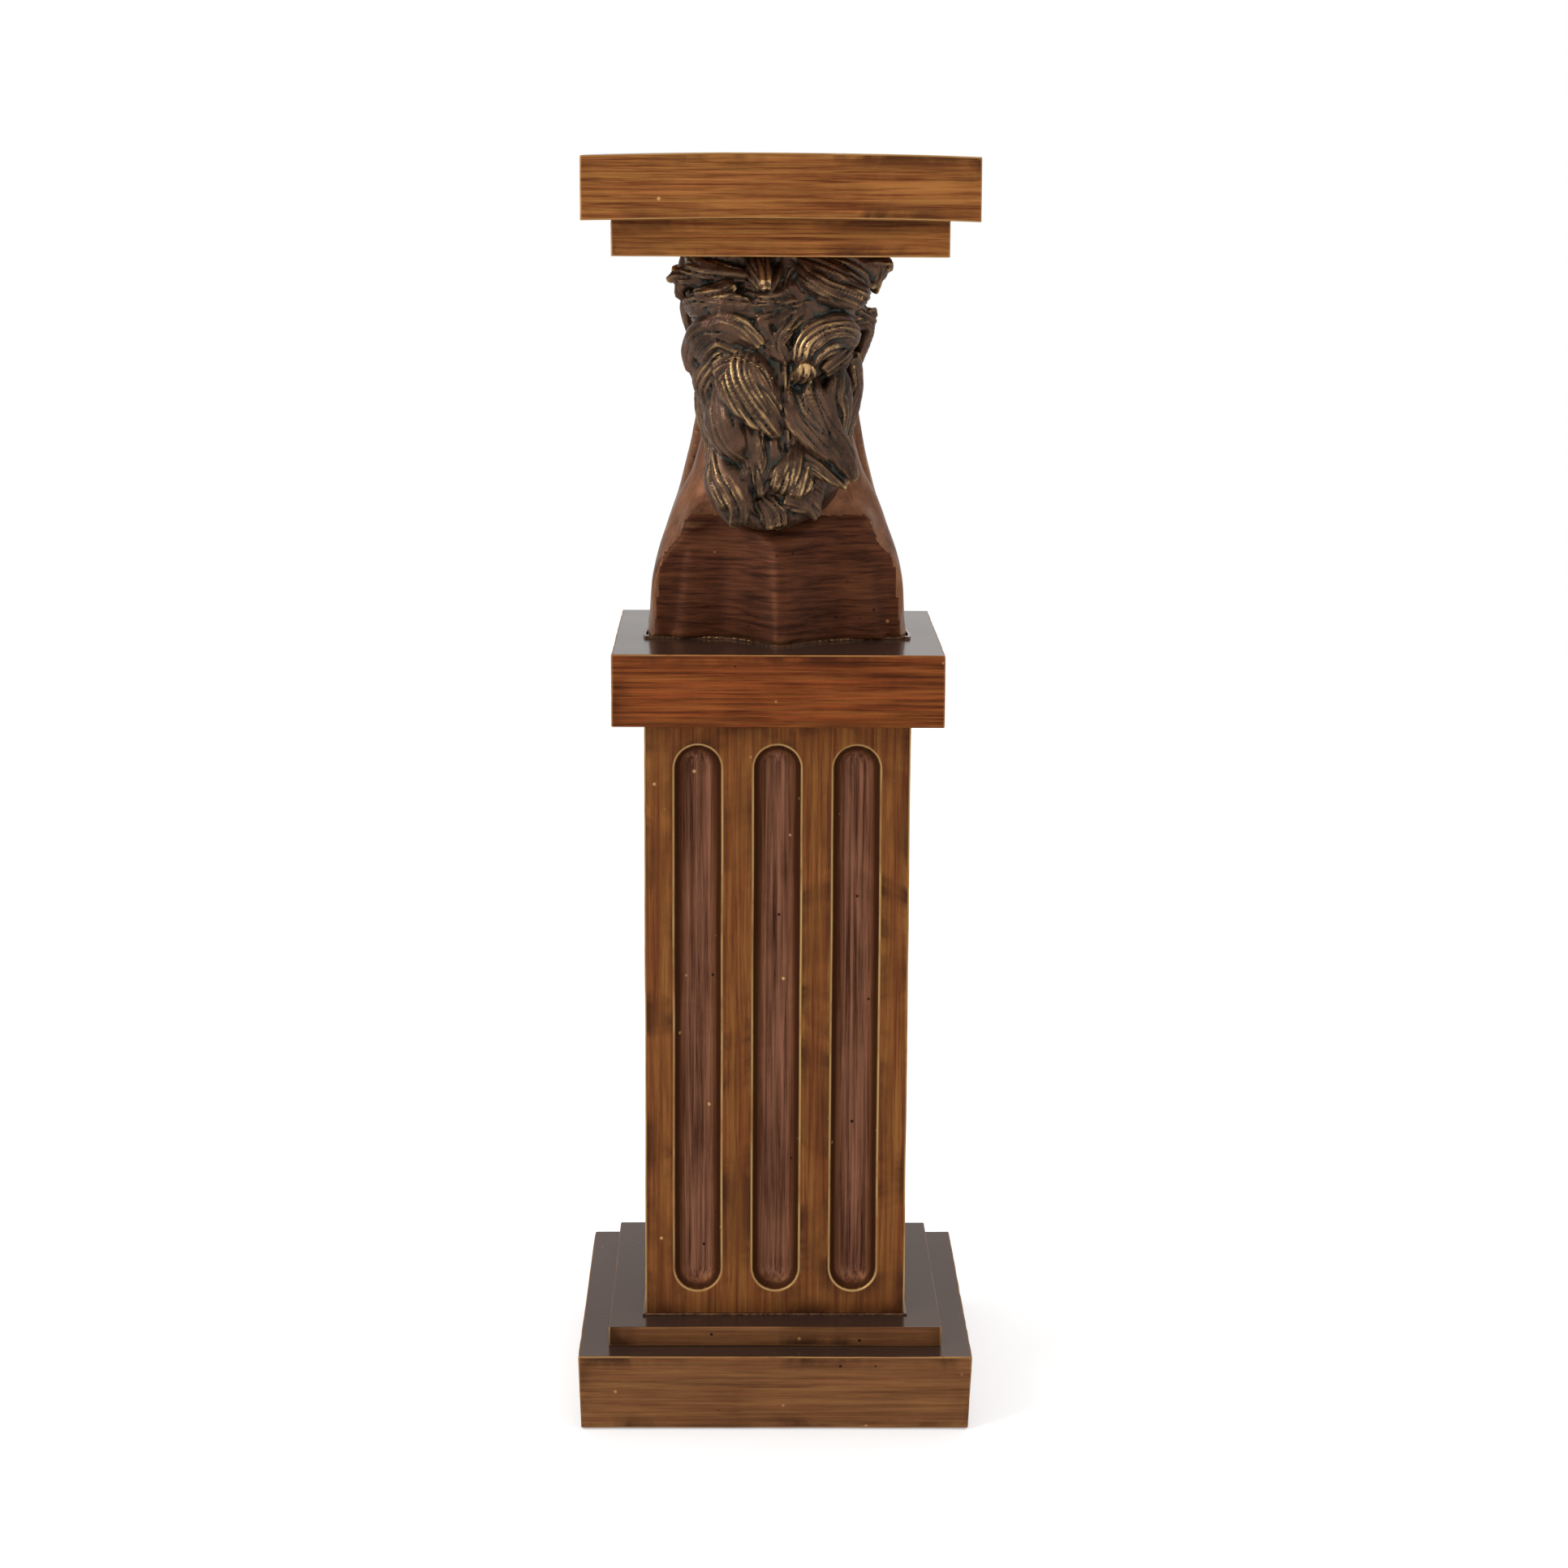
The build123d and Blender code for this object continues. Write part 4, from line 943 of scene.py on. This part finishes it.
# %% Rubbed crests and dark hollows
shape_now, broad_now = relief(mane, 5), relief(mane, 30)
crest = unit(form_height / (1.0 * mm) - 0.45) * 0.8 + unit(shape_now / (0.42 * mm) - 0.55)
rubbed_more = np.where(np.isin(lock_number, bright_locks), 1.35, 0.62)
rubbed_more *= np.clip(1.0 + 1.6 * noise_at(places, 26.0), 0.35, 1.5)
crest = unit(crest * rubbed_more * np.clip(1.2 + broad_now / (2.0 * mm), 0.1, 1.0)) ** 1.25
hollow = unit(-(broad_now + 0.5 * shape_now) / (1.5 * mm) + 0.05)
set_numbers(mane, crest=crest, hollow=hollow, edge=99.0)
print("crest share", round(float((crest > 0.5).mean()), 3), "hollow share", round(float((hollow > 0.5).mean()), 3))

# %% [markdown]
# The mane was cast in five pieces welded along seams, so the heap is split along the same seams: two level ones
# and one upright one. The cuts are closed with faces, so that each piece stays a closed body.

# %% Split along the seams
up, right = Vector((0.0, 0.0, 1.0)).freeze(), Vector((1.0, 0.0, 0.0)).freeze()
curl_seam = (up, bust_foot + 0.84 * bust_height)
fall_seam = (up, bust_foot + 0.69 * bust_height)
middle_seam = (right, 4.0 * mm)
# The seams that bound each part, and whether what lies above or right of the seam is kept
mane_parts = {
    "mane_crest": {curl_seam: True},
    "mane_left_curl": {curl_seam: False, fall_seam: True, middle_seam: False},
    "mane_right_curl": {curl_seam: False, fall_seam: True, middle_seam: True},
    "mane_left_fall": {fall_seam: False, middle_seam: False},
    "mane_right_fall": {fall_seam: False, middle_seam: True},
}
mane_bronze = patina("green_gold_mane_bronze", "6B4C3B", "352821", "725746", "C6A16E", ("1E1F1D", "414944"),
                     (45.0, 45.0, 30.0), stroke_contrast=0.4, gloss=0.28)
for node, cuts in mane_parts.items():
    part = new_piece("combed_" + node, mane.data.copy())
    with opened(part) as form:
        for (direction, at), keep_beyond in cuts.items():
            cut = bmesh.ops.bisect_plane(form, geom=form.verts[:] + form.edges[:] + form.faces[:],
                                         plane_co=direction * at, plane_no=direction,
                                         clear_outer=not keep_beyond, clear_inner=keep_beyond)
            rims = [item for item in cut["geom_cut"] if isinstance(item, bmesh.types.BMEdge)]
            bmesh.ops.holes_fill(form, edges=rims, sides=0)
        bmesh.ops.triangulate(form, faces=[face for face in form.faces if len(face.verts) > 4])
    finish_piece(part, mane_bronze, [node], 75.0)

# %% [markdown]
# ## Weld beads
# The joints were welded and only roughly filed, so small bright beads stand along them: two short seams across
# the mane, the foot of the bust behind, and the foot of the column. One bead is a small flattened ball; it is
# copied along each line with an uneven step, and set on the nearest surface of the mane or on the joint.

# %% Rows of beads
from mathutils.bvhtree import BVHTree

mane_skin = BVHTree.FromPolygons([v.co[:] for v in mane.data.vertices], [p.vertices[:] for p in mane.data.polygons])
bead_lines = {
    "seam_right": ([(20, -84, 886), (6, -88, 876), (-9, -88, 864)], 2.9, True),
    "seam_left": ([(-46, -80, 856), (-30, -90, 859), (-12, -90, 849), (-1, -88, 842)], 3.1, True),
    "bust_foot": ([(-72, -41.5, 631), (-38, -45, 631), (-18, -66, 631), (0, -88.4, 631), (27, -65, 631),
                   (67, -46, 631)], 4.2, False),
    "column_foot": ([(-104, -106.6, 80.0), (104, -106.6, 80.0)], 6.5, False),
}
dice = np.random.default_rng(7)
beads = new_piece("weld_beads")
with opened(beads) as form:
    for corners, spacing, on_mane in bead_lines.values():
        corners = np.array(corners, dtype=float)
        lengths = np.concatenate([[0.0], np.cumsum(np.linalg.norm(np.diff(corners, axis=0), axis=1))])
        at = 0.0
        while at < lengths[-1]:
            place = Vector([float(np.interp(at, lengths, corners[:, axis])) for axis in range(3)]) * mm
            if on_mane:
                place = mane_skin.find_nearest(place)[0]
            size = dice.uniform(0.55, 1.25) * mm
            ball = bmesh.ops.create_icosphere(form, subdivisions=1, radius=size)["verts"]
            stretch = Vector((dice.uniform(1.0, 1.9), 1.0, dice.uniform(0.6, 0.9)))
            for vertex in ball:
                vertex.co = vertex.co * stretch + place
            at += spacing * dice.uniform(0.5, 1.6)
for face in beads.data.polygons:
    face.use_smooth = True
bpy.data.objects.remove(mane)
faces_per_ball = 20
print("weld beads", len(beads.data.polygons) // faces_per_ball)



# %% [markdown]
# ## Forelock
# One thick lock falls from between the ears over the brow. It is smoothed like wax and combed along its fall.

# %% Forelock
forelock = cad_copy("forelock", "combed_forelock")
remesh(forelock, 1.3 * mm, 5)
fall = noise_at(vertex_places(forelock) * (260.0, 30.0, 30.0), 1.0)
crease = unit(1.0 - np.abs(fall) / 0.14)
push_out(forelock, (np.abs(fall) * 1.6 - crease * 1.1) * mm, "forelock")
store_relief(forelock, 4, 20, 1.3 * mm, 2.2 * mm)
finish_piece(forelock, mane_bronze, ["forelock"], 75.0)

# %% [markdown]
# ## Plain parts inside
# The parts that hold the castings together were made on machines: zinc-plated rod, nuts, bolts and screws,
# painted steel bars and plates, and rubber pads. Their CAD bodies are right as they are, so they keep them and
# get only a finish. Zinc has a faint cloudy spangle, paint an orange-peel skin, rubber a fine grain.

# %% Finishes of the inner parts


def plain_finish(name, light, dark, metallic, roughness, scale, depth):
    """A cloudy finish with a fine skin: colours, metal share, roughness, pattern count per metre, relief in mm."""
    material, tree, shader = new_material(name)
    at = add_node(tree, "TexCoord").outputs["Object"]
    cloud = add_node(tree, "TexNoise", {"Vector": at, "Scale": scale, "Detail": 5.0, "Roughness": 0.6})
    tone = add_node(tree, "MapRange", {"Value": cloud, "From Min": 0.35, "From Max": 0.65})
    colour = add_node(tree, "Mix", {0: tone, 6: linear(dark), 7: linear(light)}, data_type="RGBA")
    rough = add_node(tree, "MapRange", {"Value": cloud, "To Min": roughness - 0.08, "To Max": roughness + 0.12})
    skin = add_node(tree, "TexNoise", {"Vector": at, "Scale": 4.0 * scale})
    bump = add_node(tree, "Bump", {"Height": skin, "Strength": 0.3, "Distance": depth * mm})
    fill(shader, {"Base Color": colour.outputs[2], "Roughness": rough, "Metallic": metallic, "Normal": bump})
    return material


# %% [markdown]
# The two long weld beads round the bust's and the column's feet were filed down, and the small beads on top of
# the joints were left bright.

# %% Put the finishes on
inner_finishes = {
    plain_finish("zinc_plated_steel", "ACAFB2", "7B7E83", 1.0, 0.34, 160.0, 0.1): [
        "base_step_bolts", "base_step_washers", "tie_rod_nuts", "tie_rod_washers", "tie_rod", "bottom_plate_screws",
        "bust_base_bolts", "bust_base_washers", "bust_top_bolts", "bust_top_washers", "table_top_screws"],
    plain_finish("black_painted_steel", "28292A", "1B1C1D", 0.0, 0.42, 220.0, 0.15): [
        "base_strongback", "cap_strongback", "base_bottom_plate", "bust_top_plate", "bust_base_plate"],
    plain_finish("dark_rubber", "262524", "181717", 0.0, 0.78, 500.0, 0.2): ["floor_pads"],
    plain_finish("filed_weld_bronze", "6F4B30", "341E12", 0.7, 0.36, 300.0, 0.5): [
        "column_weld_bead", "bust_weld_bead"],
}
beads.data.materials.append(plain_finish("bright_weld_bronze", "BF996A", "6F4C30", 0.85, 0.3, 300.0, 0.2))
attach(beads, "root")
for finish, nodes in inner_finishes.items():
    for node in nodes:
        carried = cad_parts[node]
        for number in range(max(len(carried.material_slots), 1)):
            if number < len(carried.material_slots):
                carried.material_slots[number].material = finish
            else:
                carried.data.materials.append(finish)
    print(finish.name, len(nodes))
